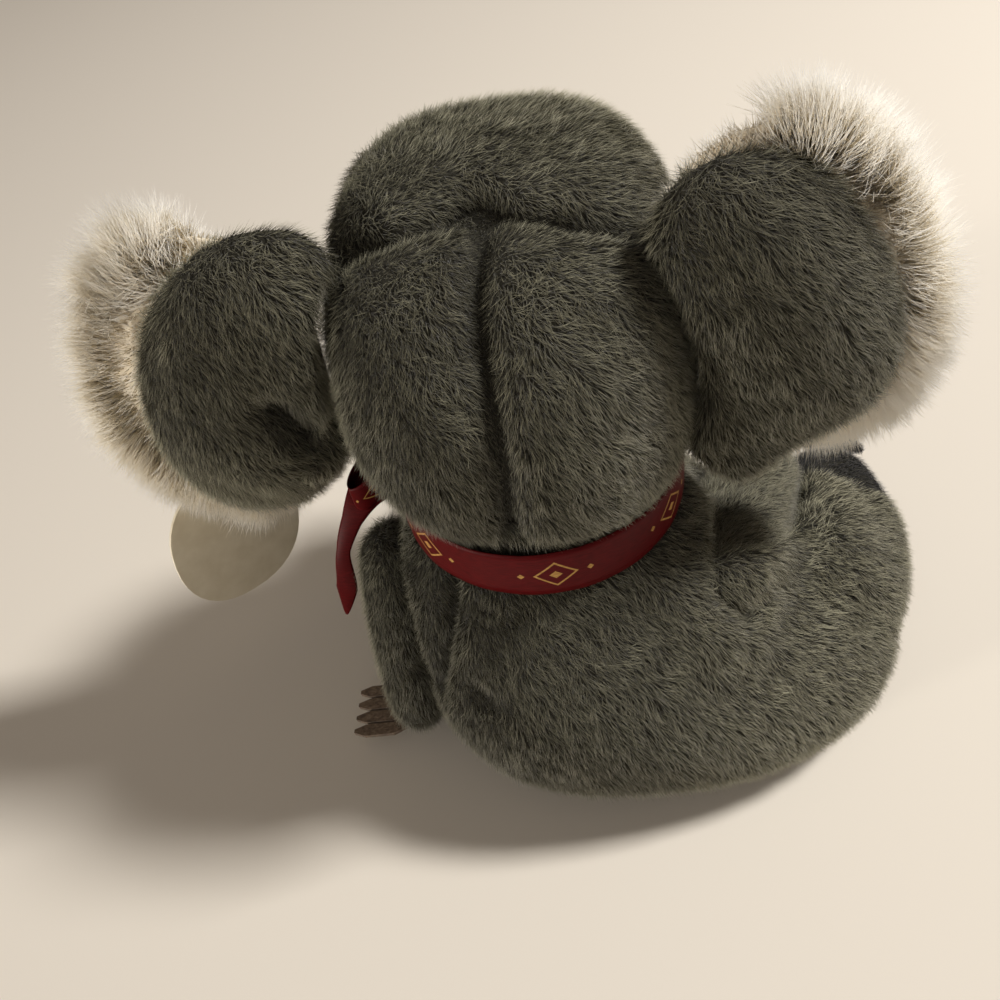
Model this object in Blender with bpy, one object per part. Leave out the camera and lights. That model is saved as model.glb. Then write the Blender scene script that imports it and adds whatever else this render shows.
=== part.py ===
"""Plush koala, sitting: one named object for each sewn or fitted piece.

It faces -Y and sits on the floor at z = 0, with the origin under the middle
of the neck. Lengths are in metres, angles in degrees, and the left side is
the animal's own, at +X.
"""
import math

import bmesh
import bpy
from mathutils import Matrix, Vector

# Fits shared by all pieces
CLEARANCE = 0.0003
OVERRUN = 0.004

# Torso, a stuffed form on a flat base, listed from the floor to the neck
NECK_Z = 0.0965
NECK_RADIUS = 0.040
TORSO_HALF_WIDTH = 0.062
TORSO_RIGHT_HALF_WIDTH = 0.100
TORSO_BACK = 0.068
TORSO_FRONT = 0.056
TORSO_LEAN = 0.012
TORSO_POWER = 2.25
TORSO_HEIGHT_SHARES = (0.0, 0.03, 0.11, 0.25, 0.41, 0.57, 0.71, 0.82, 0.885, 0.920, 1.0)
TORSO_WIDTH_SHARES = (0.380, 0.634, 0.859, 1.0, 1.0, 0.831, 0.605, 0.352, 0.140, 0.0, 0.0)
TORSO_RIGHT_SHARES = (0.656, 0.787, 0.934, 1.0, 0.830, 0.430, 0.190, 0.090, 0.040, 0.0, 0.0)
TORSO_BACK_SHARES = (0.404, 0.630, 0.826, 0.974, 1.0, 0.826, 0.552, 0.281, 0.107, 0.0, 0.0)
TORSO_FRONT_SHARES = (0.231, 0.544, 0.825, 1.0, 1.0, 0.825, 0.580, 0.338, 0.090, 0.0, 0.0)
TORSO_LEAN_SHARES = (1.0, 1.0, 1.0, 0.95, 0.8, 0.55, 0.3, 0.1, 0.0, 0.0, 0.0)
TORSO_RINGS = 20
TORSO_SEGMENTS = 44

# Cream panel let into the chest and belly
BELLY_PLACE = (-0.003, -0.046, 0.042)
BELLY_RADII = (0.036, 0.017, 0.037)
BELLY_FACETS = (12, 22)

# Head, a stuffed form on a round neck, listed from the neck to the crown
HEAD_FOOT_Z = NECK_Z + CLEARANCE
HEAD_HEIGHT = 0.0930
HEAD_HALF_WIDTH = 0.0475
HEAD_BACK = 0.0475
HEAD_FRONT = 0.077
HEAD_POWER = 2.35
HEAD_LEAN = 0.0045
HEAD_CHEEK = 0.0050
HEAD_HEIGHT_SHARES = (0.0, 0.120, 0.132, 0.165, 0.24, 0.36, 0.5, 0.64, 0.76, 0.86, 0.93, 0.975, 1.0)
HEAD_WIDTH_SHARES = (0.842105, 0.842105, 0.89, 0.93, 0.97, 1.0, 1.0, 0.99, 0.94, 0.84, 0.70, 0.46, 0.03)
HEAD_BACK_SHARES = (0.842105, 0.842105, 0.90, 0.95, 0.985, 1.0, 0.97, 0.88, 0.70, 0.45, 0.19, -0.10, -0.46)
HEAD_FRONT_SHARES = (0.519481, 0.519481, 0.64, 0.79, 0.90, 0.965, 1.0, 1.0, 0.95, 0.86, 0.74, 0.56, 0.30)
HEAD_FORM_SHARES = (0.0, 0.0, 0.06, 0.2, 0.45, 0.8, 1.0, 1.0, 1.0, 1.0, 1.0, 1.0, 1.0)
HEAD_LEAN_SHARES = (0.0, 0.0, 0.0, 0.0, 0.0, 0.0, 0.05, 0.35, 0.7, 0.9, 1.0, 1.0, 1.0)
HEAD_CHEEK_SHARES = (0.0, 0.0, 0.0, 0.3, 0.7, 1.0, 0.8, 0.4, 0.1, 0.0, 0.0, 0.0, 0.0)
HEAD_RINGS = 25
HEAD_SEGMENTS = 38
GROOVE_RADIUS = 0.0015
GROOVE_POINTS = 13
GROOVE_SIDES = 6
BACK_SEAM_FROM_SHARE = 0.19
BACK_SEAM_TO_SHARE = 0.953
CROWN_SEAM_TOP_SHARE = 0.957
CROWN_SEAM_END_SHARE = 0.860
CROWN_SEAM_SWING = 58.0

# Muzzle, nose and eyes
MUZZLE_PLACE = (0.0, -0.072, 0.121)
MUZZLE_RADII = (0.026, 0.020, 0.020)
MUZZLE_FACETS = (12, 20)
NOSE_PLACE = (0.0, -0.0865, 0.131)
NOSE_RADII = (0.0105, 0.0075, 0.0165)
NOSE_FACETS = (10, 18)
NOSE_POWER = 2.4
NOSE_TILT = -12.0
EYE_RADIUS = 0.0052
EYE_FACETS = (12, 20)
EYE_DEPTH = 0.0042
EYE_X = 0.0265
EYE_Y = -0.0665
EYE_Z = 0.147
EYE_SWIVEL = 28.0

# Ears, a puffed back in short pile and a wider front panel in long pile
EAR_RADII = (0.031, 0.0190, 0.0480)
EAR_FLAT_DEPTH = 0.0060
EAR_CENTRE_LEFT = (0.0725, 0.005, 0.1440)
EAR_CENTRE_RIGHT = (-0.0635, 0.005, 0.1505)
EAR_TILT = 20.0
EAR_POWER = 2.2
EAR_FRONT_RADII_LEFT = (0.037, 0.0085, 0.0485)
EAR_FRONT_RADII_RIGHT = (0.0295, 0.0085, 0.0450)
EAR_FRONT_SHIFT_LEFT = (0.0120, -0.0065, -0.0080)
EAR_FRONT_SHIFT_RIGHT = (-0.0045, -0.0065, 0.0005)
EAR_OUTLINE_LEFT_SHARES = (0.96, 0.88, 0.83, 0.87, 0.97, 1.10, 1.18, 1.15, 1.11, 1.10, 1.08, 1.07, 1.10, 1.08,
                           1.03, 1.00)
EAR_OUTLINE_RIGHT_SHARES = (0.905, 0.875, 0.90, 0.915, 0.94, 0.96, 0.97, 0.93, 0.92, 0.96, 0.95, 0.88, 0.84,
                            0.84, 0.87, 0.90)
EAR_FACETS = (13, 24)

# Arms, stuffed limbs that swing about a crosswise line through the shoulder
SHOULDER_Y = 0.008
SHOULDER_Z = 0.064
ARM_INNER_LEFT_SHARE = 0.63710
ARM_INNER_RIGHT_SHARE = -0.67742
ARM_SET_OUT = 0.0115
ARM_HALF_THICK = 0.0125
ARM_HALF_WIDE = 0.0165
ARM_LENGTH_LEFT = 0.0640
ARM_LENGTH_RIGHT = 0.0660
ARM_ABOVE_HINGE_LEFT = 0.0140
ARM_ABOVE_HINGE_RIGHT = 0.0225
ARM_REST_LEFT = 22.0
ARM_REST_RIGHT = -76.0
ARM_SPLAY_LEFT = 0.0
ARM_SPLAY_RIGHT = -17.0
ARM_ROLL_LEFT = 0.0
ARM_ROLL_RIGHT = 90.0
ARM_SWING_LEFT = (-12.0, 32.0)
ARM_SWING_RIGHT = (-27.0, 2.0)
ARM_LENGTH_SHARES = (0.0, 0.02, 0.08, 0.2, 0.38, 0.58, 0.76, 0.89, 0.97, 1.0)
ARM_WIDTH_SHARES = (0.12, 0.40, 0.70, 0.94, 1.0, 0.97, 0.92, 0.80, 0.48, 0.10)
ARM_RINGS = 14
ARM_SEGMENTS = 20
BAY_GAP = 0.0004
BAY_STEPS = 5

# Suede hands, each a strip slit into fingers
FINGER_COUNT = 4
FINGER_WIDTH = 0.0043
FINGER_SLIT = 0.0009
FINGER_LENGTH = 0.0150
PALM_LENGTH = 0.0095
PALM_BACK_SHARE = 0.55
FINGER_SHOULDER_SHARE = 0.72
FINGER_TIP_SHARES = (0.35, 0.65)
SUEDE_THICK = 0.0016
CLAW_OFFSET_LEFT = (0.0100, -0.0035, 0.0036)
CLAW_TURN_LEFT = 2.0
CLAW_DROP_LEFT = 6.0
CLAW_OFFSET_RIGHT = (-0.0005, -0.0018, -0.0004)
CLAW_TURN_RIGHT = -107.0
CLAW_DROP_RIGHT = 14.0

# Legs, stuffed haunches that taper to the feet
LEG_RINGS = 16
LEG_SEGMENTS = 22
LEG_LENGTH_SHARES = (0.0, 0.02, 0.08, 0.2, 0.37, 0.53, 0.72, 0.86, 0.95, 0.985, 1.0)
LEG_WIDTH_SHARES = (0.10, 0.36, 0.66, 0.90, 1.0, 0.97, 0.79, 0.61, 0.47, 0.31, 0.08)
LEG_HIP_RIGHT = (-0.0800, 0.0220, 0.0300)
LEG_TOE_RIGHT = (-0.1000, -0.0660, 0.0270)
LEG_RADII_RIGHT = (0.0300, 0.0290)
LEG_HIP_LEFT = (0.0320, 0.0060, 0.0280)
LEG_TOE_LEFT = (0.0470, -0.0960, 0.0215)
LEG_RADII_LEFT = (0.0270, 0.0285)
TOE_PAD_RADII = (0.0125, 0.0080, 0.0110)
TOE_PAD_FACETS = (10, 16)
TOE_PAD_BACK = 0.0065
TOE_PAD_LIFT = 0.0060

# Satin ribbon round the neck, with its bow
RIBBON_THICK = 0.0010
RIBBON_WIDTH = 0.0165
RIBBON_LOW_Z = 0.0905
RIBBON_FIT = 0.0005
RIBBON_SEGMENTS = 48
BOW_TURN = -35.0
KNOT_RADII = (0.0046, 0.0060, 0.0068)
KNOT_FACETS = (10, 16)
KNOT_POWER = 2.5
KNOT_Z = 0.0960
LOOP_START_SHARE = 0.11
LOOP_LENGTH = 0.0295
LOOP_SPREAD = 0.0062
LOOP_END_WIDTH = 0.0115
LOOP_ROOT_WIDTH = 0.0070
LOOP_SWEEP = 10.0
LOOP_POINTS = 18
TAIL_POINTS = 14
TAIL_WIDTH = 0.0150
TAIL_LENGTH_SHARES = (0.0, 0.2, 0.4, 0.54, 0.66, 0.84, 1.0)
TAIL_WIDTH_SHARES = (0.45, 0.90, 0.95, 0.62, 0.36, 0.50, 0.06)
TAIL_LEFT_STATIONS = ((0.0410, -0.0270, 0.0880), (0.0505, -0.0160, 0.0868), (0.0615, -0.0060, 0.0834),
                      (0.0712, 0.0035, 0.0692), (0.0722, 0.0085, 0.0555), (0.0735, 0.0105, 0.0410))
TAIL_LEFT_LINING = (0.0750, -0.0600, 0.0000)
TAIL_RIGHT_STATIONS = ((0.0385, -0.0300, 0.0868), (0.0370, -0.0430, 0.0815), (0.0335, -0.0560, 0.0730),
                       (0.0310, -0.0650, 0.0620), (0.0300, -0.0690, 0.0510))
TAIL_RIGHT_LINING = (0.0180, -0.0200, 0.0500)

# Oval swing tag on a cord loop under the left ear
TAG_HALF_WIDTH = 0.0240
TAG_HALF_HEIGHT = 0.0270
TAG_THICK = 0.0010
TAG_POWER = 2.3
TAG_HOLE_INSET = 0.0042
TAG_HOLE_RADIUS = 0.0010
TAG_HOLE_SEGMENTS = 24
TAG_HANG_PLACE = (0.1075, -0.0104, 0.0886)
TAG_YAW = 50.0
TAG_LEAN = -9.0
TAG_POINTS = 40
CORD_LOOP_RADIUS = 0.0060
CORD_RADIUS = 0.0006
CORD_RING_POINTS = 18
CORD_SIDES = 6


# Tables, outlines and mesh helpers

def eased(shares, values, at):
    """Value of a table at one share, on a smooth curve through its entries."""
    last = len(shares) - 1
    if at <= shares[0]:
        return values[0]
    if at >= shares[last]:
        return values[last]
    k = max(i for i in range(last) if shares[i] <= at)
    step = shares[k + 1] - shares[k]
    rise = (values[k + 1] - values[k]) / step
    before = (values[k] - values[k - 1]) / (shares[k] - shares[k - 1]) if k else rise
    after = rise
    if k + 2 <= last:
        after = (values[k + 2] - values[k + 1]) / (shares[k + 2] - shares[k + 1])
    start = 0.0 if before * rise <= 0.0 else 2.0 * before * rise / (before + rise)
    end = 0.0 if after * rise <= 0.0 else 2.0 * after * rise / (after + rise)
    t = (at - shares[k]) / step
    return (values[k] * (2 * t ** 3 - 3 * t ** 2 + 1) + values[k + 1] * (3 * t ** 2 - 2 * t ** 3)
            + step * (start * (t ** 3 - 2 * t ** 2 + t) + end * (t ** 3 - t ** 2)))


def rounded(angle, power):
    """Cosine and sine of an angle, bent to a rounded square of that power."""
    c = math.cos(angle)
    s = math.sin(angle)
    bend = 2.0 / power
    return math.copysign(abs(c) ** bend, c), math.copysign(abs(s) ** bend, s)


def material(name, colour, roughness, metallic=0.0):
    """Plain surface with one colour."""
    made = bpy.data.materials.get(name)
    if made:
        return made
    made = bpy.data.materials.new(name)
    made.use_nodes = True
    shader = made.node_tree.nodes["Principled BSDF"]
    shader.inputs["Base Color"].default_value = (*colour, 1.0)
    shader.inputs["Roughness"].default_value = roughness
    shader.inputs["Metallic"].default_value = metallic
    return made


def standing_point(made):
    """Place of an object in the world, through the empties that carry it."""
    return made.location + (standing_point(made.parent) if made.parent else Vector())


def finished(name, bm, origin, surface, parent=None):
    """Object from a mesh drawn in place, moved to stand on its own origin."""
    place = Vector(origin)
    bmesh.ops.translate(bm, verts=bm.verts[:], vec=-place)
    bmesh.ops.recalc_face_normals(bm, faces=bm.faces[:])
    mesh = bpy.data.meshes.new(name)
    bm.to_mesh(mesh)
    bm.free()
    mesh.shade_smooth()
    mesh.materials.append(surface)
    made = bpy.data.objects.new(name, mesh)
    bpy.context.collection.objects.link(made)
    made.location = place
    if parent:
        made.parent = parent
        made.location = place - standing_point(parent)
    return made


def lofted(rings):
    """Closed mesh through rings of points, each end covered by one flat face."""
    bm = bmesh.new()
    loops = [[bm.verts.new(point) for point in ring] for ring in rings]
    count = len(loops[0])
    for low, high in zip(loops, loops[1:]):
        for i in range(count):
            j = (i + 1) % count
            bm.faces.new((low[i], low[j], high[j], high[i]))
    bm.faces.new(loops[0][::-1])
    bm.faces.new(loops[-1])
    return bm


def around(shares, angle):
    """Share at one angle, from a table in equal steps round a full turn."""
    place = angle / math.tau % 1.0 * len(shares)
    first = int(place) % len(shares)
    second = (first + 1) % len(shares)
    part = place - int(place)
    part = part * part * (3.0 - 2.0 * part)
    return shares[first] * (1.0 - part) + shares[second] * part


def puffed(centre, radii, facets, power=2.0, turn=None, front=None, outline=None, hand=1):
    """Closed egg-shaped mesh of three radii about a centre, flatter in front where asked."""
    bm = bmesh.new()
    bmesh.ops.create_uvsphere(bm, u_segments=facets[1], v_segments=facets[0], radius=1.0)
    for vert in bm.verts:
        low = math.asin(max(-1.0, min(1.0, vert.co.z)))
        round_ = math.atan2(vert.co.y, vert.co.x)
        flat, rise = rounded(low, power)
        across, along = rounded(round_, power)
        depth = front if front and along < 0.0 else radii[1]
        reach = around(outline, math.atan2(rise, flat * across * hand)) if outline else 1.0
        vert.co = Vector((flat * across * radii[0] * reach, flat * along * depth, rise * radii[2] * reach))
    place = Matrix.Translation(centre)
    if turn:
        place = place @ turn
    bmesh.ops.transform(bm, matrix=place, verts=bm.verts[:])
    return bm


def spindle(start, end, across, half_across, half_up, shares, widths, rings, segments):
    """Closed mesh of oval rings from start to end, its widths from a table."""
    first = Vector(start)
    run = Vector(end) - first
    up = across.cross(run).normalized()
    loops = []
    for k in range(rings):
        turn = math.pi * k / (rings - 1)
        share = 0.5 - 0.5 * math.cos(turn)
        width = eased(shares, widths, share)
        middle = first + run * share
        loop = []
        for i in range(segments):
            angle = 2.0 * math.pi * i / segments
            loop.append(middle + across * (half_across * width * math.cos(angle))
                        + up * (half_up * width * math.sin(angle)))
        loops.append(loop)
    return lofted(loops)


def kept_above_floor(bm):
    """Lift what hangs below the floor onto it, for a flat sole."""
    for vert in bm.verts:
        vert.co.z = max(vert.co.z, 0.0)
    return bm


def strip(points, sides, normals, widths, thick):
    """Closed ribbon of one thickness along points, its width set at each."""
    loops = []
    for point, side, normal, width in zip(points, sides, normals, widths):
        half = side * (width / 2.0)
        out = normal * (thick / 2.0)
        loops.append([point - half - out, point + half - out, point + half + out, point - half + out])
    return lofted(loops)


def hidden_tool(made):
    """Mark a cutter, which isn't a piece of the toy."""
    made.hide_render = True
    made.display_type = 'WIRE'
    return made


def grown(source, gap):
    """Cutter that is a piece's uncut form, larger all round by the gap."""
    bm = bmesh.new()
    bm.from_mesh(source.data)
    bm.normal_update()
    moves = [vert.normal * gap for vert in bm.verts]
    for vert, move in zip(bm.verts, moves):
        vert.co += move
    mesh = bpy.data.meshes.new(source.name + "_room")
    bm.to_mesh(mesh)
    bm.free()
    made = bpy.data.objects.new(source.name + "_room", mesh)
    bpy.context.collection.objects.link(made)
    made.location = source.location
    made.rotation_euler = source.rotation_euler
    made.parent = source.parent
    return hidden_tool(made)


def cut(piece, tool):
    """Take a tool's form out of a piece."""
    change = piece.modifiers.new("cut_" + tool.name, 'BOOLEAN')
    change.operation = 'DIFFERENCE'
    change.solver = 'EXACT'
    change.object = tool


def pivot(name, place):
    """Empty on a joint's axis, which carries the pieces that move with it."""
    made = bpy.data.objects.new(name, None)
    bpy.context.collection.objects.link(made)
    made.location = place
    made.empty_display_size = OVERRUN
    return made


# Materials

def grey_plush():
    return material("grey_plush", (0.205, 0.195, 0.165), 0.95)


def cream_plush():
    return material("cream_plush", (0.62, 0.56, 0.44), 0.95)


def brown_suede():
    return material("brown_suede", (0.085, 0.050, 0.028), 0.85)


def black_leather():
    return material("black_leather", (0.012, 0.013, 0.018), 0.42)


def black_plush():
    return material("black_plush", (0.018, 0.019, 0.024), 0.95)


def eye_plastic():
    return material("eye_plastic", (0.020, 0.010, 0.005), 0.12)


def maroon_satin():
    return material("maroon_satin", (0.150, 0.008, 0.014), 0.35)


def tag_card():
    return material("tag_card", (0.60, 0.53, 0.38), 0.60)


def tag_cord():
    return material("tag_cord", (0.55, 0.47, 0.33), 0.85)


# Torso and its cream panel

def torso_reach(full, shares, share):
    """How far the torso reaches one way at a share of its height, from the neck's radius outwards."""
    return NECK_RADIUS + (full - NECK_RADIUS) * eased(TORSO_HEIGHT_SHARES, shares, share)


def torso_ring(share):
    """Outline of the torso at one share of its height."""
    left = torso_reach(TORSO_HALF_WIDTH, TORSO_WIDTH_SHARES, share)
    right = torso_reach(TORSO_RIGHT_HALF_WIDTH, TORSO_RIGHT_SHARES, share)
    back = torso_reach(TORSO_BACK, TORSO_BACK_SHARES, share)
    front = torso_reach(TORSO_FRONT, TORSO_FRONT_SHARES, share)
    lean = TORSO_LEAN * eased(TORSO_HEIGHT_SHARES, TORSO_LEAN_SHARES, share)
    squareness = 2.0 + (TORSO_POWER - 2.0) * (1.0 - share)
    ring = []
    for i in range(TORSO_SEGMENTS):
        c, s = rounded(2.0 * math.pi * i / TORSO_SEGMENTS, squareness)
        ring.append(((left if c > 0.0 else right) * c - lean, (back if s > 0.0 else front) * s,
                     NECK_Z * share))
    return ring


def make_body():
    shares = [k / (TORSO_RINGS - 1) for k in range(TORSO_RINGS)]
    shares = sorted(shares + [TORSO_HEIGHT_SHARES[1] / 2.0, TORSO_HEIGHT_SHARES[-2]])
    bm = lofted([torso_ring(share) for share in shares])
    return finished("body", bm, (0.0, 0.0, 0.0), grey_plush())


def make_belly_panel(body):
    """Lens of cream plush that lies in a hollow of the torso's front."""
    seat = puffed(BELLY_PLACE, BELLY_RADII, BELLY_FACETS)
    lens = hidden_tool(finished("belly_seat", seat, BELLY_PLACE, cream_plush()))
    filled = puffed(BELLY_PLACE, [radius - CLEARANCE for radius in BELLY_RADII], BELLY_FACETS)
    panel = finished("belly_panel", filled, BELLY_PLACE, cream_plush())
    cut(body, lens)
    return panel


# Head with its sewn grooves

def head_point(share, degrees):
    """Point of the head's surface at a share of its height, turned about it."""
    wide = HEAD_HALF_WIDTH * eased(HEAD_HEIGHT_SHARES, HEAD_WIDTH_SHARES, share)
    back = HEAD_BACK * eased(HEAD_HEIGHT_SHARES, HEAD_BACK_SHARES, share)
    front = HEAD_FRONT * eased(HEAD_HEIGHT_SHARES, HEAD_FRONT_SHARES, share)
    form = eased(HEAD_HEIGHT_SHARES, HEAD_FORM_SHARES, share)
    c, s = rounded(math.radians(degrees), 2.0 + (HEAD_POWER - 2.0) * form)
    middle = form * (back - front) / 2.0
    reach = back - middle if s > 0.0 else front + middle
    lean = HEAD_LEAN * eased(HEAD_HEIGHT_SHARES, HEAD_LEAN_SHARES, share)
    if c > 0.0:
        cheek = HEAD_CHEEK * eased(HEAD_HEIGHT_SHARES, HEAD_CHEEK_SHARES, share)
        wide += cheek * min(1.0, 1.0 + s)
    return Vector((lean + wide * c, middle + reach * s, HEAD_FOOT_Z + HEAD_HEIGHT * share))


def head_ring(share):
    """Outline of the head at one share of its height."""
    return [head_point(share, 360.0 * i / HEAD_SEGMENTS) for i in range(HEAD_SEGMENTS)]


def groove(name, points):
    """Cutter that sinks a round channel along points of the surface."""
    loops = []
    for k, point in enumerate(points):
        along = (points[min(k + 1, len(points) - 1)] - points[max(k - 1, 0)]).normalized()
        side = along.cross(Vector((point.x, point.y, point.z - SHOULDER_Z))).normalized()
        out = side.cross(along)
        turns = [2.0 * math.pi * i / GROOVE_SIDES for i in range(GROOVE_SIDES)]
        loops.append([point + (side * math.cos(a) + out * math.sin(a)) * GROOVE_RADIUS for a in turns])
    return hidden_tool(finished(name, lofted(loops), points[0], grey_plush()))


def back_seam_points():
    """Line of the seam up the middle of the back of the head."""
    rise = BACK_SEAM_TO_SHARE - BACK_SEAM_FROM_SHARE
    return [head_point(BACK_SEAM_FROM_SHARE + rise * k / (GROOVE_POINTS - 1), 90.0)
            for k in range(GROOVE_POINTS)]


def crown_seam_points():
    """Line of the seam that crosses the crown from ear to ear."""
    points = []
    for k in range(GROOVE_POINTS):
        side = 2.0 * k / (GROOVE_POINTS - 1) - 1.0
        share = CROWN_SEAM_TOP_SHARE - (CROWN_SEAM_TOP_SHARE - CROWN_SEAM_END_SHARE) * side ** 2
        points.append(head_point(share, 90.0 - CROWN_SEAM_SWING * side))
    return points


def make_head(turn):
    shares = [k / (HEAD_RINGS - 1) for k in range(HEAD_RINGS)]
    shares = sorted(shares + [HEAD_HEIGHT_SHARES[1], HEAD_HEIGHT_SHARES[2]])
    head = finished("head", lofted([head_ring(share) for share in shares]), standing_point(turn),
                    grey_plush(), turn)
    cut(head, groove("back_seam_tool", back_seam_points()))
    cut(head, groove("crown_seam_tool", crown_seam_points()))
    return head


# Face

def make_muzzle(turn, head_room):
    bm = puffed(MUZZLE_PLACE, MUZZLE_RADII, MUZZLE_FACETS)
    muzzle = finished("muzzle", bm, MUZZLE_PLACE, cream_plush(), turn)
    cut(muzzle, head_room)
    return muzzle


def make_nose(turn, head_room, muzzle_room):
    tilt = Matrix.Rotation(math.radians(NOSE_TILT), 4, 'X')
    bm = puffed(NOSE_PLACE, NOSE_RADII, NOSE_FACETS, NOSE_POWER, tilt)
    nose = finished("nose", bm, NOSE_PLACE, black_leather(), turn)
    cut(nose, head_room)
    cut(nose, muzzle_room)
    return nose


def make_eye(name, side, turn, head_room):
    place = (EYE_X * side, EYE_Y, EYE_Z)
    swivel = Matrix.Rotation(math.radians(EYE_SWIVEL * side), 4, 'Z')
    bm = puffed(place, (EYE_RADIUS, EYE_DEPTH, EYE_RADIUS), EYE_FACETS, turn=swivel)
    eye = finished(name, bm, place, eye_plastic(), turn)
    cut(eye, head_room)
    return eye


# Ears

def make_ear(name, centre, side, turn, head_room):
    """Puffed back of one ear, and the wider long-pile panel in front of it."""
    tilt = Matrix.Rotation(math.radians(-EAR_TILT * side), 4, 'Y')
    outline = EAR_OUTLINE_LEFT_SHARES if side > 0 else EAR_OUTLINE_RIGHT_SHARES
    bm = puffed(centre, EAR_RADII, EAR_FACETS, EAR_POWER, tilt, EAR_FLAT_DEPTH, outline, side)
    back = finished("ear_back_" + name, bm, centre, grey_plush(), turn)
    shift = EAR_FRONT_SHIFT_LEFT if side > 0 else EAR_FRONT_SHIFT_RIGHT
    radii = EAR_FRONT_RADII_LEFT if side > 0 else EAR_FRONT_RADII_RIGHT
    place = Vector(centre) + Vector(shift)
    bm = puffed(place, radii, EAR_FACETS, EAR_POWER, tilt)
    front = finished("ear_front_" + name, bm, place, cream_plush(), turn)
    cut(front, grown(back, CLEARANCE))
    cut(front, head_room)
    cut(back, head_room)
    return back, front


# Arms and the room that they swing in

def arm_line(side):
    """Inner face, hinge point, direction and length of one arm at rest."""
    left = side > 0
    inner = TORSO_HALF_WIDTH * (ARM_INNER_LEFT_SHARE if left else ARM_INNER_RIGHT_SHARE)
    rest = math.radians(ARM_REST_LEFT if left else ARM_REST_RIGHT)
    splay = Matrix.Rotation(math.radians(ARM_SPLAY_LEFT if left else ARM_SPLAY_RIGHT), 3, 'Z')
    hinge = Vector((inner + side * ARM_SET_OUT, SHOULDER_Y, SHOULDER_Z))
    length = ARM_LENGTH_LEFT if left else ARM_LENGTH_RIGHT
    return inner, hinge, splay @ Vector((0.0, math.sin(rest), -math.cos(rest))), length


def make_arm(name, side, swing):
    inner, hinge, along, length = arm_line(side)
    roll = math.radians(ARM_ROLL_LEFT if side > 0 else ARM_ROLL_RIGHT)
    level = Vector((-along.y, along.x, 0.0)).normalized()
    across = Matrix.Rotation(roll, 3, along) @ (level * math.copysign(1.0, level.x))
    above = ARM_ABOVE_HINGE_LEFT if side > 0 else ARM_ABOVE_HINGE_RIGHT
    bm = spindle(hinge - along * above, hinge + along * length, across, ARM_HALF_THICK,
                 ARM_HALF_WIDE, ARM_LENGTH_SHARES, ARM_WIDTH_SHARES, ARM_RINGS, ARM_SEGMENTS)
    face = inner + side * CLEARANCE
    for vert in bm.verts:
        vert.co.x = max(vert.co.x, face) if side > 0 else min(vert.co.x, face)
    return finished(name, bm, hinge, grey_plush(), swing)


def make_swing_room(arm, hinge, swings):
    """Cutter that holds every place that one arm can reach, with a gap round it."""
    form = bmesh.new()
    form.from_mesh(arm.data)
    form.normal_update()
    bm = bmesh.new()
    for k in range(BAY_STEPS):
        swing = swings[0] + (swings[1] - swings[0]) * k / (BAY_STEPS - 1)
        turn = Matrix.Rotation(math.radians(swing), 3, 'X')
        for vert in form.verts:
            bm.verts.new(hinge + turn @ (vert.co + vert.normal * BAY_GAP))
    form.free()
    hull = bmesh.ops.convex_hull(bm, input=bm.verts[:])
    spare = set(hull["geom_interior"] + hull["geom_unused"])
    bmesh.ops.delete(bm, geom=[e for e in spare if isinstance(e, bmesh.types.BMVert)], context='VERTS')
    return hidden_tool(finished(arm.name + "_swing_room", bm, hinge, grey_plush()))


# Suede hands

def make_claws(name, side, offset, turn, drop, swing, arm_room):
    """Flat strip of suede slit into fingers, sewn into the end of one arm."""
    inner, hinge, along, length = arm_line(side)
    root = hinge + along * length + Vector(offset)
    pitch = FINGER_WIDTH + FINGER_SLIT
    half = (FINGER_COUNT * pitch - FINGER_SLIT) / 2.0
    outline = [(-PALM_LENGTH, half * PALM_BACK_SHARE), (-PALM_LENGTH, -half * PALM_BACK_SHARE)]
    for k in range(FINGER_COUNT):
        low = -half + k * pitch
        outline += [(0.0, low), (FINGER_LENGTH * FINGER_SHOULDER_SHARE, low)]
        outline += [(FINGER_LENGTH, low + FINGER_WIDTH * share) for share in FINGER_TIP_SHARES]
        outline += [(FINGER_LENGTH * FINGER_SHOULDER_SHARE, low + FINGER_WIDTH), (0.0, low + FINGER_WIDTH)]
    bm = bmesh.new()
    face = bm.faces.new([bm.verts.new((x, y, -SUEDE_THICK / 2.0)) for x, y in outline])
    raised = bmesh.ops.extrude_face_region(bm, geom=[face])
    top = [e for e in raised["geom"] if isinstance(e, bmesh.types.BMVert)]
    bmesh.ops.translate(bm, verts=top, vec=(0.0, 0.0, SUEDE_THICK))
    place = Matrix.Translation(root) @ Matrix.Rotation(math.radians(turn), 4, 'Z')
    place = place @ Matrix.Rotation(math.radians(drop), 4, 'Y')
    bmesh.ops.transform(bm, matrix=place, verts=bm.verts[:])
    claws = finished(name, bm, root, brown_suede(), swing)
    cut(claws, arm_room)
    return claws


# Legs and toe pads

def make_leg(name, hip, toe, radii, tools):
    across = (Vector(toe) - Vector(hip)).cross(Vector((0.0, 0.0, 1.0))).normalized()
    bm = spindle(hip, toe, across, radii[0], radii[1], LEG_LENGTH_SHARES, LEG_WIDTH_SHARES, LEG_RINGS,
                 LEG_SEGMENTS)
    leg = finished(name, kept_above_floor(bm), hip, grey_plush())
    for tool in tools:
        cut(leg, tool)
    return leg


def make_toe_pad(name, hip, toe, leg_room):
    """Puffed cap of short black pile on the end of one foot."""
    along = (Vector(toe) - Vector(hip)).normalized()
    centre = Vector(toe) - along * TOE_PAD_BACK + Vector((0.0, 0.0, TOE_PAD_LIFT))
    turn = along.to_track_quat('Y', 'Z').to_matrix().to_4x4()
    bm = puffed(centre, TOE_PAD_RADII, TOE_PAD_FACETS, turn=turn)
    pad = finished(name, bm, centre, black_plush())
    cut(pad, leg_room)
    return pad


# Ribbon and bow

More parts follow.
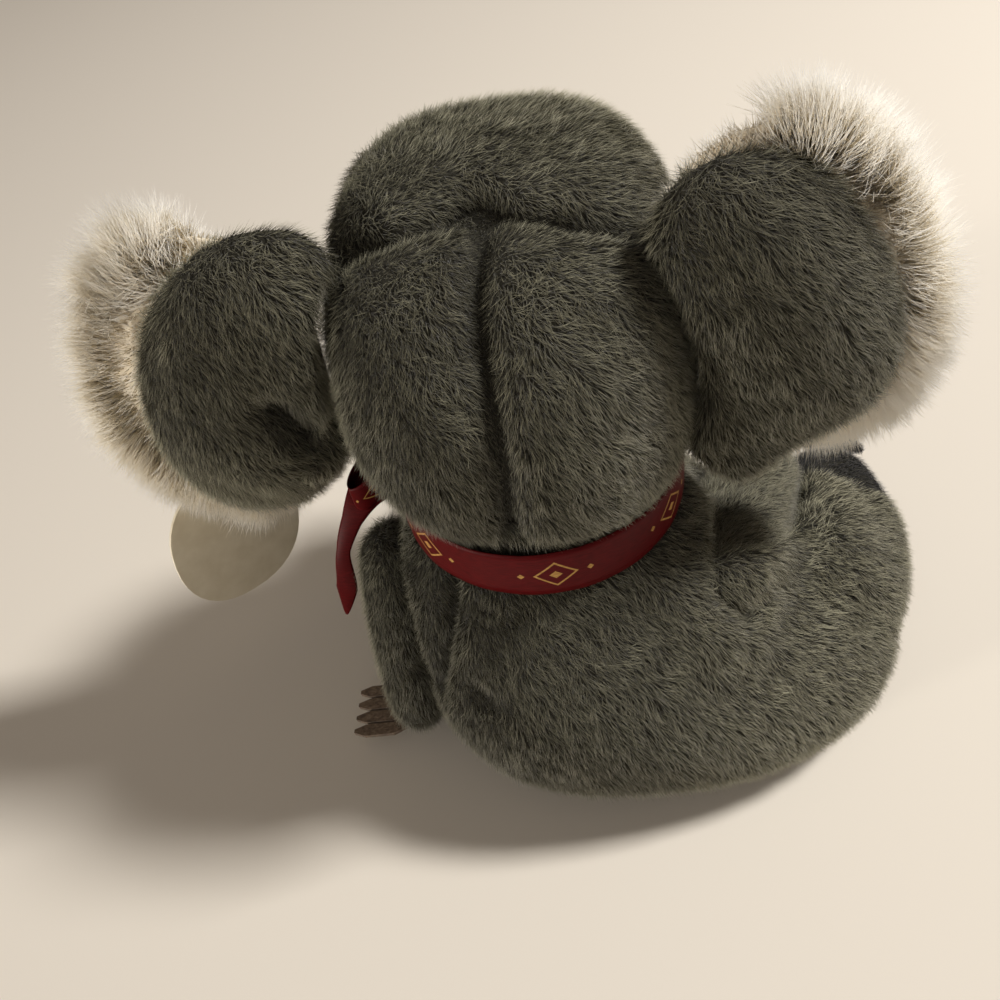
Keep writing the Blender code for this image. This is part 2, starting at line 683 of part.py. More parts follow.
def make_ribbon_band():
    """Flat ring of satin round the neck."""
    inner = NECK_RADIUS + RIBBON_FIT
    loops = []
    for k in range(RIBBON_SEGMENTS):
        angle = 2.0 * math.pi * k / RIBBON_SEGMENTS
        out = Vector((math.cos(angle), math.sin(angle), 0.0))
        loops.append([out * radius + Vector((0.0, 0.0, z)) for radius, z in (
            (inner, RIBBON_LOW_Z), (inner + RIBBON_THICK, RIBBON_LOW_Z),
            (inner + RIBBON_THICK, RIBBON_LOW_Z + RIBBON_WIDTH), (inner, RIBBON_LOW_Z + RIBBON_WIDTH))])
    bm = bmesh.new()
    rings = [[bm.verts.new(point) for point in loop] for loop in loops]
    for k, ring in enumerate(rings):
        ahead = rings[(k + 1) % RIBBON_SEGMENTS]
        for i in range(4):
            j = (i + 1) % 4
            bm.faces.new((ring[i], ring[j], ahead[j], ahead[i]))
    return finished("ribbon_band", bm, (0.0, 0.0, RIBBON_LOW_Z), maroon_satin())


def bow_frame():
    """Middle of the knot, and the outward and sideways directions there."""
    angle = math.radians(BOW_TURN)
    out = Vector((math.cos(angle), math.sin(angle), 0.0))
    radius = NECK_RADIUS + RIBBON_FIT + RIBBON_THICK + CLEARANCE + KNOT_RADII[0]
    return out * radius + Vector((0.0, 0.0, KNOT_Z)), out, Vector((-out.y, out.x, 0.0))


def make_bow_knot():
    centre, out, side = bow_frame()
    turn = Matrix.Rotation(math.radians(BOW_TURN), 4, 'Z')
    bm = puffed(centre, KNOT_RADII, KNOT_FACETS, KNOT_POWER, turn)
    return finished("bow_knot", bm, centre, maroon_satin())


def make_bow_loop(name, hand, knot_room):
    """Loop of ribbon standing on edge, drawn together at the knot."""
    centre, out, side = bow_frame()
    sweep = math.radians(LOOP_SWEEP)
    ahead = side * (hand * math.cos(sweep)) + out * math.sin(sweep)
    cross = Vector((-ahead.y, ahead.x, 0.0))
    up = Vector((0.0, 0.0, 1.0))
    points = []
    widths = []
    for k in range(LOOP_POINTS):
        u = LOOP_START_SHARE + (1.0 - 2.0 * LOOP_START_SHARE) * k / (LOOP_POINTS - 1)
        reach = (1.0 - math.cos(2.0 * math.pi * u)) / 2.0
        swell = math.sin(2.0 * math.pi * u) * math.sin(math.pi * u)
        points.append(centre + ahead * (LOOP_LENGTH * reach) + cross * (LOOP_SPREAD * swell))
        widths.append(LOOP_ROOT_WIDTH + (LOOP_END_WIDTH - LOOP_ROOT_WIDTH) * math.sin(math.pi * reach / 2.0))
    tangents = [(points[min(k + 1, LOOP_POINTS - 1)] - points[max(k - 1, 0)]).normalized()
                for k in range(LOOP_POINTS)]
    normals = [up.cross(tangent) for tangent in tangents]
    loop = finished(name, strip(points, [up] * LOOP_POINTS, normals, widths, RIBBON_THICK), centre,
                    maroon_satin())
    cut(loop, knot_room)
    return loop


def through(stations, count):
    """Points evenly along a smooth line through a few stations."""
    places = [k / (len(stations) - 1) for k in range(len(stations))]
    return [Vector([eased(places, [station[axis] for station in stations], k / (count - 1))
                    for axis in range(3)]) for k in range(count)]


def make_tail(name, stations, lining, knot_room):
    """Loose end of the ribbon, lying over what is under it and cut to a point."""
    points = through(stations, TAIL_POINTS)
    tangents = [(points[min(k + 1, TAIL_POINTS - 1)] - points[max(k - 1, 0)]).normalized()
                for k in range(TAIL_POINTS)]
    outs = [point - Vector(lining) for point in points]
    sides = [tangent.cross(out).normalized() for tangent, out in zip(tangents, outs)]
    normals = [side.cross(tangent) for side, tangent in zip(sides, tangents)]
    widths = [TAIL_WIDTH * eased(TAIL_LENGTH_SHARES, TAIL_WIDTH_SHARES, k / (TAIL_POINTS - 1))
              for k in range(TAIL_POINTS)]
    tail = finished(name, strip(points, sides, normals, widths, RIBBON_THICK), points[0], maroon_satin())
    cut(tail, knot_room)
    return tail


# Swing tag

def tag_turn():
    """How the hanging card is turned about its cord."""
    return Matrix.Rotation(math.radians(TAG_YAW), 3, 'Z') @ Matrix.Rotation(math.radians(TAG_LEAN), 3, 'Y')


def make_tag(swing):
    """Oval card with one round hole, hanging from its cord."""
    outline = []
    for k in range(TAG_POINTS):
        c, s = rounded(2.0 * math.pi * k / TAG_POINTS, TAG_POWER)
        outline.append((TAG_HALF_WIDTH * c, TAG_HALF_HEIGHT * s + TAG_HOLE_INSET - TAG_HALF_HEIGHT))
    hung = Matrix.Translation(TAG_HANG_PLACE) @ tag_turn().to_4x4()
    bm = lofted([[(px, TAG_THICK * side / 2.0, pz) for px, pz in outline] for side in (1.0, -1.0)])
    bmesh.ops.transform(bm, matrix=hung, verts=bm.verts[:])
    tag = finished("swing_tag", bm, TAG_HANG_PLACE, tag_card(), swing)
    tool = bmesh.new()
    bmesh.ops.create_cone(tool, cap_ends=True, segments=TAG_HOLE_SEGMENTS, radius1=TAG_HOLE_RADIUS,
                          radius2=TAG_HOLE_RADIUS, depth=TAG_THICK + 2.0 * OVERRUN)
    bmesh.ops.rotate(tool, matrix=Matrix.Rotation(math.radians(90.0), 3, 'X'), verts=tool.verts[:])
    bmesh.ops.transform(tool, matrix=hung, verts=tool.verts[:])
    cut(tag, hidden_tool(finished("tag_hole_tool", tool, TAG_HANG_PLACE, tag_card())))
    return tag


def make_tag_loop(turn):
    """Closed loop of cord, sewn to the rim of the ear and through the tag."""
    ahead = Matrix.Rotation(math.radians(TAG_YAW), 3, 'Z') @ Vector((0.0, 1.0, 0.0))
    side = Vector((ahead.y, -ahead.x, 0.0))
    up = Vector((0.0, 0.0, 1.0))
    centre = Vector(TAG_HANG_PLACE) + up * CORD_LOOP_RADIUS
    bm = bmesh.new()
    rings = []
    for k in range(CORD_RING_POINTS):
        angle = 2.0 * math.pi * k / CORD_RING_POINTS
        out = ahead * math.cos(angle) + up * math.sin(angle)
        ring = []
        for i in range(CORD_SIDES):
            around = 2.0 * math.pi * i / CORD_SIDES
            offset = (out * math.cos(around) + side * math.sin(around)) * CORD_RADIUS
            ring.append(bm.verts.new(centre + out * CORD_LOOP_RADIUS + offset))
        rings.append(ring)
    for k, ring in enumerate(rings):
        onward = rings[(k + 1) % CORD_RING_POINTS]
        for i in range(CORD_SIDES):
            j = (i + 1) % CORD_SIDES
            bm.faces.new((ring[i], ring[j], onward[j], onward[i]))
    return finished("tag_loop", bm, centre, tag_cord(), turn)


# The toy, piece by piece

def build():
    for old in list(bpy.data.objects):
        bpy.data.objects.remove(old)
    body = make_body()
    panel = make_belly_panel(body)
    turn = pivot("head_turn", (0.0, 0.0, NECK_Z))
    head = make_head(turn)
    head_room = grown(head, CLEARANCE)
    muzzle = make_muzzle(turn, head_room)
    make_nose(turn, head_room, grown(muzzle, CLEARANCE))
    make_eye("eye_left", 1, turn, head_room)
    make_eye("eye_right", -1, turn, head_room)
    make_ear("left", EAR_CENTRE_LEFT, 1, turn, head_room)
    make_ear("right", EAR_CENTRE_RIGHT, -1, turn, head_room)

    hinge_left = arm_line(1)[1]
    hinge_right = arm_line(-1)[1]
    swing_left = pivot("arm_left_swing", hinge_left)
    swing_right = pivot("arm_right_swing", hinge_right)
    arm_left = make_arm("arm_left", 1, swing_left)
    arm_right = make_arm("arm_right", -1, swing_right)
    room_left = make_swing_room(arm_left, hinge_left, ARM_SWING_LEFT)
    room_right = make_swing_room(arm_right, hinge_right, ARM_SWING_RIGHT)
    cut(body, room_left)
    cut(body, room_right)
    make_claws("claws_left", 1, CLAW_OFFSET_LEFT, CLAW_TURN_LEFT, CLAW_DROP_LEFT, swing_left,
               grown(arm_left, CLEARANCE))
    make_claws("claws_right", -1, CLAW_OFFSET_RIGHT, CLAW_TURN_RIGHT, CLAW_DROP_RIGHT, swing_right,
               grown(arm_right, CLEARANCE))

    tools = (grown(body, CLEARANCE), grown(panel, CLEARANCE))
    leg_left = make_leg("leg_left", LEG_HIP_LEFT, LEG_TOE_LEFT, LEG_RADII_LEFT, tools + (room_left,))
    leg_right = make_leg("leg_right", LEG_HIP_RIGHT, LEG_TOE_RIGHT, LEG_RADII_RIGHT, tools + (room_right,))
    make_toe_pad("toe_pad_left", LEG_HIP_LEFT, LEG_TOE_LEFT, grown(leg_left, CLEARANCE))
    make_toe_pad("toe_pad_right", LEG_HIP_RIGHT, LEG_TOE_RIGHT, grown(leg_right, CLEARANCE))

    make_ribbon_band()
    knot_room = grown(make_bow_knot(), CLEARANCE)
    make_bow_loop("bow_loop_left", 1, knot_room)
    make_bow_loop("bow_loop_right", -1, knot_room)
    make_tail("ribbon_tail_left", TAIL_LEFT_STATIONS, TAIL_LEFT_LINING, knot_room)
    make_tail("ribbon_tail_right", TAIL_RIGHT_STATIONS, TAIL_RIGHT_LINING, knot_room)

    make_tag_loop(turn)
    tag_swing = pivot("tag_swing", Vector(TAG_HANG_PLACE) - standing_point(turn))
    tag_swing.parent = turn
    make_tag(tag_swing)


build()
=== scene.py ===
import math

import bmesh
import bpy
import numpy as np
from mathutils import Matrix, Vector
from mathutils.bvhtree import BVHTree


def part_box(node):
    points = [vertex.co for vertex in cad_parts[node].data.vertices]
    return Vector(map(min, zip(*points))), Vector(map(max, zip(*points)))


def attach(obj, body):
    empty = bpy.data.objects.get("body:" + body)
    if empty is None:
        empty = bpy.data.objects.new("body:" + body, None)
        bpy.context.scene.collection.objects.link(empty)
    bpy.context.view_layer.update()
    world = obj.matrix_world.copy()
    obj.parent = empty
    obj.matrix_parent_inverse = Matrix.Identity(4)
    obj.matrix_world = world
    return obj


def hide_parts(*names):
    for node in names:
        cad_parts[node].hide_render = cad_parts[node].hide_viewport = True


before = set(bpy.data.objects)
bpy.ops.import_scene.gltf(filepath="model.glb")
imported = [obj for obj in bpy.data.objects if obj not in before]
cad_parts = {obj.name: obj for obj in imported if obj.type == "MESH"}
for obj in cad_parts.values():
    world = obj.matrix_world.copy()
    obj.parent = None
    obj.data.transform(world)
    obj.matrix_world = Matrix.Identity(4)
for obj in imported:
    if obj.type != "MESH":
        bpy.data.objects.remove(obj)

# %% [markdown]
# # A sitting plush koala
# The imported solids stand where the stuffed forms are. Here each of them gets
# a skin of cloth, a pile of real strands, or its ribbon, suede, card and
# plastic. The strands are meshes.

MM = 0.001
UP = Vector((0.0, 0.0, 1.0))
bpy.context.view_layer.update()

# %% [markdown]
# ## Finishes
# A finish is a Principled shader. What is the same all over the surface is
# typed on its sockets, and only colour and bump come from patterns. A pattern
# reads the object's own coordinates, or a map that was made for it, so that
# it stays on the piece when the piece moves.

# %% Nodes
def feed(tree, socket, value):
    """Types a value on a socket, or links another socket to it."""
    if isinstance(value, (int, float, str, tuple)):
        socket.default_value = value
    else:
        tree.links.new(value, socket)


def node_of(tree, kind, inputs=None, **settings):
    """A new node with its settings made and then its inputs fed. None leaves an input as it is."""
    node = tree.nodes.new(kind)
    for name, value in settings.items():
        setattr(node, name, value)
    for key, value in (inputs or {}).items():
        if value is not None:
            feed(tree, node.inputs[key], value)
    return node


def maths(tree, kind, first, second=None):
    """A sum on one or two numbers."""
    return node_of(tree, "ShaderNodeMath", {0: first, 1: second}, operation=kind).outputs[0]


def vectors(tree, kind, first, second=None, scale=None):
    """A sum on one or two vectors. A length comes out as a number."""
    node = node_of(tree, "ShaderNodeVectorMath", {0: first, 1: second, "Scale": scale}, operation=kind)
    return node.outputs["Value" if kind == 'LENGTH' else "Vector"]


# %% A finish and its patterns
def finish_of(name, colour, roughness=0.8, sheen=0.0, coat=0.0, gloss=0.5):
    """A material with these constant values on its shader's own sockets."""
    made = bpy.data.materials.new(name)
    made.use_nodes = True
    shader = made.node_tree.nodes["Principled BSDF"]
    shader.inputs["Base Color"].default_value = (*colour, 1.0)
    shader.inputs["Roughness"].default_value = roughness
    shader.inputs["Sheen Weight"].default_value = sheen
    shader.inputs["Sheen Roughness"].default_value = 0.4
    shader.inputs["Coat Weight"].default_value = coat
    shader.inputs["Specular IOR Level"].default_value = gloss
    return made, made.node_tree, shader


def ramp(tree, value, stops):
    """Colours along a value, as (place, colour) pairs."""
    node = node_of(tree, "ShaderNodeValToRGB", {"Fac": value})
    for element, (place, colour) in zip(node.color_ramp.elements, (stops[0], stops[-1])):
        element.position = place
        element.color = (*colour, 1.0)
    for place, colour in stops[1:-1]:
        node.color_ramp.elements.new(place).color = (*colour, 1.0)
    return node.outputs["Color"]


def mottle(tree, scale, detail=2.0, stretch=(1.0, 1.0, 1.0)):
    """Soft noise over the object's own coordinates."""
    place = node_of(tree, "ShaderNodeTexCoord").outputs["Object"]
    mapping = node_of(tree, "ShaderNodeMapping", {"Vector": place, "Scale": stretch}).outputs["Vector"]
    noise = node_of(tree, "ShaderNodeTexNoise", {"Vector": mapping, "Scale": scale, "Detail": detail})
    return noise.outputs[0]


def painted(tree, shader, pattern, stops):
    """Colours the whole piece by a pattern."""
    tree.links.new(ramp(tree, pattern, stops), shader.inputs["Base Color"])


def bump(tree, shader, height, distance, strength=0.6):
    """Small relief from a pattern."""
    node = node_of(tree, "ShaderNodeBump", {"Strength": strength, "Distance": distance, "Height": height})
    tree.links.new(node.outputs["Normal"], shader.inputs["Normal"])


def mixed_colour(tree, share, first, second):
    """A colour between two others."""
    return node_of(tree, "ShaderNodeMix", {0: share, 6: first, 7: second}, data_type='RGBA').outputs[2]


def ways_of_map(tree, name):
    """How far along and how far up a place lies on the piece's own map."""
    place = node_of(tree, "ShaderNodeUVMap", uv_map=name).outputs["UV"]
    split = node_of(tree, "ShaderNodeSeparateXYZ", {0: place})
    return split.outputs["X"], split.outputs["Y"]


# %% [markdown]
# ## Plush
# Pile fabric is a knitted back with thousands of fibres standing in it. Each
# fibre is dark at its root and paler at its tip, and no two are quite the
# same. The strands carry a map named OFBake: across it goes the strand's own
# tone, from dark to pale, and up it goes the way from root to tip. The finish
# reads nothing else, so every strand of one cloth shares one small picture.

# %% The finishes of the pile and its backing
ROOT_TO_TIP = (0.0, 0.5, 1.0)


def pile_finish(name, sheen, dark, pale):
    """Three colours from root to tip, for the darkest and for the palest strands."""
    made, tree, shader = finish_of(name, pale[-1], 0.65, sheen, gloss=0.2)
    tone, height = ways_of_map(tree, "OFBake")
    low = ramp(tree, height, list(zip(ROOT_TO_TIP, dark)))
    high = ramp(tree, height, list(zip(ROOT_TO_TIP, pale)))
    tree.links.new(mixed_colour(tree, tone, low, high), shader.inputs["Base Color"])
    return made


def backing_finish(name, dark, pale):
    """Knitted back of the pile, seen only where the pile parts."""
    made, tree, shader = finish_of(name, pale, 0.95)
    painted(tree, shader, mottle(tree, 900.0), [(0.35, dark), (0.65, pale)])
    return made


grey_pile = pile_finish("grey_pile", 0.15,
                        dark=((0.020, 0.019, 0.0125), (0.066, 0.063, 0.043), (0.150, 0.145, 0.100)),
                        pale=((0.070, 0.067, 0.045), (0.300, 0.289, 0.202), (0.740, 0.715, 0.530)))
cream_pile = pile_finish("cream_pile", 0.1,
                         dark=((0.790, 0.670, 0.450), (0.850, 0.735, 0.510), (0.880, 0.775, 0.555)),
                         pale=((0.850, 0.725, 0.480), (0.905, 0.790, 0.540), (0.915, 0.815, 0.580)))
black_pile = pile_finish("black_pile", 0.15,
                         dark=((0.003, 0.003, 0.004), (0.007, 0.008, 0.012), (0.012, 0.014, 0.022)),
                         pale=((0.006, 0.007, 0.009), (0.018, 0.020, 0.030), (0.045, 0.050, 0.072)))
grey_backing = backing_finish("grey_backing", (0.012, 0.011, 0.007), (0.030, 0.028, 0.019))
cream_backing = backing_finish("cream_backing", (0.740, 0.660, 0.520), (0.820, 0.740, 0.600))
black_backing = backing_finish("black_backing", (0.004, 0.004, 0.006), (0.010, 0.010, 0.014))
print("piles", [finish.name for finish in (grey_pile, cream_pile, black_pile)])

# %% [markdown]
# Light goes into pale fibres and comes out of their neighbours, which keeps
# a thick cream pile from going dark between its strands. So this finish alone
# scatters light below its surface.

# %% Light inside the cream pile
shader = cream_pile.node_tree.nodes["Principled BSDF"]
shader.inputs["Subsurface Weight"].default_value = 0.8
shader.inputs["Subsurface Radius"].default_value = (1.0, 1.0, 1.0)
shader.inputs["Subsurface Scale"].default_value = 6.0 * MM

# %% [markdown]
# ## One strand
# A strand is a thin cone with three sides, the fewest that make a closed
# form. A long hair is cut across once, so that it can curve. Each is one unit
# long, stands on its root at the origin and leans along +X, which is the way
# that it will be combed.

# %% Strands
STRAND_SIDES = 3
STRAND_MAP_WIDTH = 0.004
STRAND_CURL = 1.5
TIP_BROADENS = 0.5
TIP_DROOPS = 0.2


def strand(name, finish, cuts=(), thick=0.03):
    """Closed tapered strand of unit length, its root at the origin."""
    bm = bmesh.new()
    bmesh.ops.create_cone(bm, cap_ends=True, segments=STRAND_SIDES, radius1=1.0, radius2=0.0, depth=1.0)
    bmesh.ops.translate(bm, verts=bm.verts[:], vec=UP / 2.0)
    for cut in cuts:
        bmesh.ops.bisect_plane(bm, geom=bm.verts[:] + bm.edges[:] + bm.faces[:], plane_co=UP * cut,
                               plane_no=UP)
    bmesh.ops.triangulate(bm, faces=bm.faces[:])
    low = min(v.co.y for v in bm.verts)
    high = max(v.co.y for v in bm.verts)
    layer = bm.loops.layers.uv.new("OFBake")
    for face in bm.faces:
        for loop in face.loops:
            co = loop.vert.co
            loop[layer].uv = (STRAND_MAP_WIDTH * ((co.y - low) / (high - low) - 0.5), co.z)
    for vert in bm.verts:
        t = vert.co.z
        vert.co = Vector((vert.co.x * thick + t ** STRAND_CURL, vert.co.y * (1.0 + TIP_BROADENS * t),
                          t * (1.0 - TIP_DROOPS * t)))
    mesh = bpy.data.meshes.new(name)
    bm.to_mesh(mesh)
    bm.free()
    mesh.shade_smooth()
    mesh.materials.append(finish)
    return bpy.data.objects.new(name, mesh)


grey_strand = strand("grey_strand", grey_pile)
cream_strand = strand("cream_strand", cream_pile)
black_strand = strand("black_strand", black_pile)
cream_hair = strand("cream_hair", cream_pile, cuts=(0.5,), thick=0.02)
print("triangles in a strand", len(grey_strand.data.polygons), "and in a long hair",
      len(cream_hair.data.polygons))

# %% [markdown]
# ## Planting the strands
# Hair curves would be quick, but they don't export. So Geometry Nodes scatter
# points over the skin and put a strand on each. The skin says at every vertex
# which way the pile is combed, how long it is, how thick it stands and how
# pale it is. Two sizes of noise turn neighbouring strands alike, which draws
# the pile into tufts as on a toy that has been handled.

# %% The planting group
STRAND_LENGTHS = (0.72, 1.12)
STRAND_WIDTHS = (0.7, 1.35)
SMALL_TUFT = 0.3
SMALL_TUFT_PULL = 0.7
TUFT_TURN = 4.0
TUFT_TONE = 1.1
ROOT_STRAY = 0.4
TONE_ENDS = (0.01, 0.99)


def planting_group():
    """Node group that turns a groomed skin into its pile, and the names of its inputs."""
    tree = bpy.data.node_groups.new("planted_pile", 'GeometryNodeTree')
    kinds = {"Skin": 'NodeSocketGeometry', "Strand": 'NodeSocketObject', "Seed": 'NodeSocketInt'}
    for name in ("Density", "Length", "Lay", "Width", "Tuft", "Tuft Size", "Stray", "Tone Spread"):
        kinds[name] = 'NodeSocketFloat'
    names = {name: tree.interface.new_socket(name, in_out='INPUT', socket_type=kind).identifier
             for name, kind in kinds.items()}
    tree.interface.new_socket("Pile", in_out='OUTPUT', socket_type='NodeSocketGeometry')
    given = node_of(tree, "NodeGroupInput").outputs

    def times(first, second):
        return maths(tree, 'MULTIPLY', first, second)

    def plus(first, second):
        return maths(tree, 'ADD', first, second)

    def pushed(way, push, share):
        """A way with a share of another added to it."""
        return vectors(tree, 'ADD', way, vectors(tree, 'SCALE', push, scale=share))

    def stored(name, kind='FLOAT'):
        """What the skin says at a place."""
        return node_of(tree, "GeometryNodeInputNamedAttribute", {"Name": name}, data_type=kind).outputs[0]

    def drawn(ends, offset):
        """A number between two ends, drawn for each strand."""
        inputs = {2: ends[0], 3: ends[1], "Seed": plus(given["Seed"], offset)}
        return node_of(tree, "FunctionNodeRandomValue", inputs, data_type='FLOAT').outputs[1]

    def waves(share, offset):
        """Noise of a share of the tuft's size, as a way to turn and as a number."""
        place = vectors(tree, 'ADD', node_of(tree, "GeometryNodeInputPosition").outputs[0], offset)
        fine = maths(tree, 'DIVIDE', 1.0, times(given["Tuft Size"], share))
        noise = node_of(tree, "ShaderNodeTexNoise", {"Vector": place, "Scale": fine, "Detail": 1.0})
        centred = vectors(tree, 'SUBTRACT', noise.outputs["Color"], (0.5, 0.5, 0.5))
        return vectors(tree, 'SCALE', centred, scale=TUFT_TURN), noise.outputs[0]

    spread = node_of(tree, "GeometryNodeDistributePointsOnFaces", {
        "Mesh": given["Skin"], "Density": times(given["Density"], stored("cover")), "Seed": given["Seed"]})
    large, large_value = waves(1.0, (0.3, 0.1, 0.7))
    small, small_value = waves(SMALL_TUFT, (0.9, 0.5, 0.2))
    small_value = plus(small_value, -0.5)
    own = node_of(tree, "FunctionNodeRandomValue", {
        0: (-1.0, -1.0, -1.0), 1: (1.0, 1.0, 1.0), "Seed": plus(given["Seed"], 11)},
        data_type='FLOAT_VECTOR').outputs[0]

    lean = pushed(stored("comb", 'FLOAT_VECTOR'), large, given["Tuft"])
    lean = pushed(lean, small, times(given["Tuft"], SMALL_TUFT_PULL))
    lean = pushed(lean, own, given["Stray"])
    upright = pushed(spread.outputs["Normal"], own, times(given["Stray"], ROOT_STRAY))
    turn = node_of(tree, "FunctionNodeAxesToRotation", {0: upright, 1: lean},
                   primary_axis='Z', secondary_axis='X').outputs[0]

    tall = times(times(given["Length"], stored("trim")), drawn(STRAND_LENGTHS, 21))
    tall = times(tall, plus(0.75, times(large_value, 0.5)))
    lay = plus(given["Lay"], times(drawn((-1.0, 1.0), 31), given["Stray"]))
    lay = plus(lay, times(small_value, given["Tuft"]))
    scale = node_of(tree, "ShaderNodeCombineXYZ", {
        0: times(tall, maths(tree, 'SINE', lay)), 1: times(given["Width"], drawn(STRAND_WIDTHS, 41)),
        2: times(tall, maths(tree, 'COSINE', lay))}).outputs[0]

    tone = plus(times(drawn((-0.5, 0.5), 51), given["Tone Spread"]), times(small_value, TUFT_TONE))
    tone = node_of(tree, "ShaderNodeClamp", {
        "Value": plus(tone, stored("shade")), "Min": TONE_ENDS[0], "Max": TONE_ENDS[1]}).outputs[0]
    toned = node_of(tree, "GeometryNodeStoreNamedAttribute", {
        "Geometry": spread.outputs["Points"], "Name": "tone", "Value": tone},
        data_type='FLOAT', domain='POINT').outputs[0]
    pattern = node_of(tree, "GeometryNodeObjectInfo", {"Object": given["Strand"]}).outputs["Geometry"]
    planted = node_of(tree, "GeometryNodeInstanceOnPoints", {
        "Points": toned, "Instance": pattern, "Rotation": turn, "Scale": scale}).outputs[0]
    real = node_of(tree, "GeometryNodeRealizeInstances", {0: planted}).outputs[0]
    across = node_of(tree, "ShaderNodeCombineXYZ", {0: stored("tone")}).outputs[0]
    chart = vectors(tree, 'ADD', stored("OFBake", 'FLOAT_VECTOR'), across)
    charted = node_of(tree, "GeometryNodeStoreNamedAttribute", {
        "Geometry": real, "Name": "OFBake", "Value": chart}, data_type='FLOAT2', domain='CORNER')
    node_of(tree, "NodeGroupOutput", {0: charted.outputs[0]})
    return tree, names


planting, planting_inputs = planting_group()
print("nodes that plant the pile", len(planting.nodes))

# %% [markdown]
# ## Skins
# A stuffed form is a cut and sewn cloth bag, tight with filling. Its skin
# starts as a copy of the solid, is remeshed into even squares and drawn in by
# the height of the pile. Blender's cloth with a little pressure then plumps
# it, so that corners round over, and how far a point moves is capped.

# %% Copies of solids and their points
WELD = 0.01 * MM


def piece_from(mesh, name):
    """An object of this mesh, in the scene."""
    made = bpy.data.objects.new(name, mesh)
    bpy.context.scene.collection.objects.link(made)
    return made


def settled(made):
    """The object with its modifiers applied to its own mesh."""
    bpy.context.view_layer.update()
    shown = made.evaluated_get(bpy.context.evaluated_depsgraph_get())
    mesh = bpy.data.meshes.new_from_object(shown)
    made.modifiers.clear()
    old = made.data
    made.data = mesh
    mesh.name = made.name
    if old.users == 0:
        bpy.data.meshes.remove(old)
    return made


def merged_copy(nodes, name, overlap):
    """Copy of one solid or of several, with their loose triangles joined and drawn over each other."""
    joined = bmesh.new()
    for node in nodes:
        solid = bmesh.new()
        solid.from_mesh(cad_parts[node].data)
        bmesh.ops.remove_doubles(solid, verts=solid.verts[:], dist=WELD)
        solid.normal_update()
        moves = [vert.normal * overlap for vert in solid.verts]
        for vert, move in zip(solid.verts, moves):
            vert.co += move
        mesh = bpy.data.meshes.new(name)
        solid.to_mesh(mesh)
        solid.free()
        joined.from_mesh(mesh)
        bpy.data.meshes.remove(mesh)
    mesh = bpy.data.meshes.new(name)
    joined.to_mesh(mesh)
    joined.free()
    return piece_from(mesh, name)


def points_of(mesh):
    co = np.empty(len(mesh.vertices) * 3)
    mesh.vertices.foreach_get("co", co)
    return co.reshape(-1, 3)


def normals_of(mesh):
    no = np.empty(len(mesh.vertices) * 3)
    mesh.vertex_normals.foreach_get("vector", no)
    return no.reshape(-1, 3)


def move_points(mesh, co):
    mesh.vertices.foreach_set("co", co.astype(np.float32).ravel())
    mesh.update()


# %% Filling and skins
PRESSURE = 4.0
PRESSURE_STEPS = 20
LEG_OVERLAP = 0.4 * MM
GREY_INSET = 2.2 * MM
CREAM_INSET = 1.8 * MM
CREAM_GRAIN = 2.4 * MM
CREAM_LIMIT = 0.8 * MM
TINY = 1e-9


def plumped(made, limit):
    """Lets the filling press the skin out, and caps how far a point may move."""
    scene = bpy.context.scene
    before = points_of(made.data)
    cloth = made.modifiers.new("filling", 'CLOTH')
    cloth.settings.use_pressure = True
    cloth.settings.uniform_pressure_force = PRESSURE
    cloth.settings.effector_weights.gravity = 0.0
    for step in range(1, PRESSURE_STEPS + 1):
        scene.frame_set(step)
    shown = made.evaluated_get(bpy.context.evaluated_depsgraph_get())
    after = points_of(shown.data)
    made.modifiers.clear()
    scene.frame_set(1)
    move = after - before
    far = np.linalg.norm(move, axis=1, keepdims=True)
    move *= np.minimum(1.0, limit / np.maximum(far, TINY))
    move_points(made.data, before + move)
    print(made.name, "plumped by up to", round(float(min(far.max(), limit)) / MM, 2), "mm")


def skin_of(nodes, name, body, inset, grain=3.0 * MM, limit=1.2 * MM, finish=grey_backing, ease=3):
    """Stuffed skin inside one solid, or round several, ready to be groomed."""
    nodes = (nodes,) if isinstance(nodes, str) else nodes
    made = merged_copy(nodes, name, LEG_OVERLAP if len(nodes) > 1 else 0.0)
    remesh = made.modifiers.new("squares", 'REMESH')
    remesh.mode = 'VOXEL'
    remesh.voxel_size = grain
    draw_in = made.modifiers.new("draw_in", 'DISPLACE')
    draw_in.strength = -inset
    draw_in.mid_level = 0.0
    even = made.modifiers.new("even", 'SMOOTH')
    even.factor = 0.5
    even.iterations = ease
    settled(made)
    plumped(made, limit)
    finer = made.modifiers.new("finer", 'SUBSURF')
    finer.levels = finer.render_levels = 1
    settled(made)
    made.data.materials.clear()
    made.data.materials.append(finish)
    made.data.shade_smooth()
    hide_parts(*nodes)
    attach(made, body)
    return made


# %% [markdown]
# ## Grooming
# Grooming writes four things at each vertex of a skin: the way of the comb,
# the trim, the cover and the shade. They are worked out from distances, which
# fade softly from 1 to 0, so that no edge shows in the pile. A skin is bare
# where another piece is sewn to it. A ray from each point tells which places
# those are, by how often it meets the surface of the other piece.

# %% Fading, and depth in another piece
SEARCH_REACH = 20.0 * MM
SLANT = Vector((0.31, 0.17, 0.93)).normalized()


def rising(value, start, width):
    """0 up to a start, and 1 from a width after it."""
    return np.clip((value - start) / width, 0.0, 1.0)


def falling(value, end, width):
    """1 until a width before an end, and 0 from the end on."""
    return np.clip((end - value) / width, 0.0, 1.0)


def bell(far, width):
    """1 at no distance, and softly less over a width."""
    return np.exp(-(far / width) ** 2)


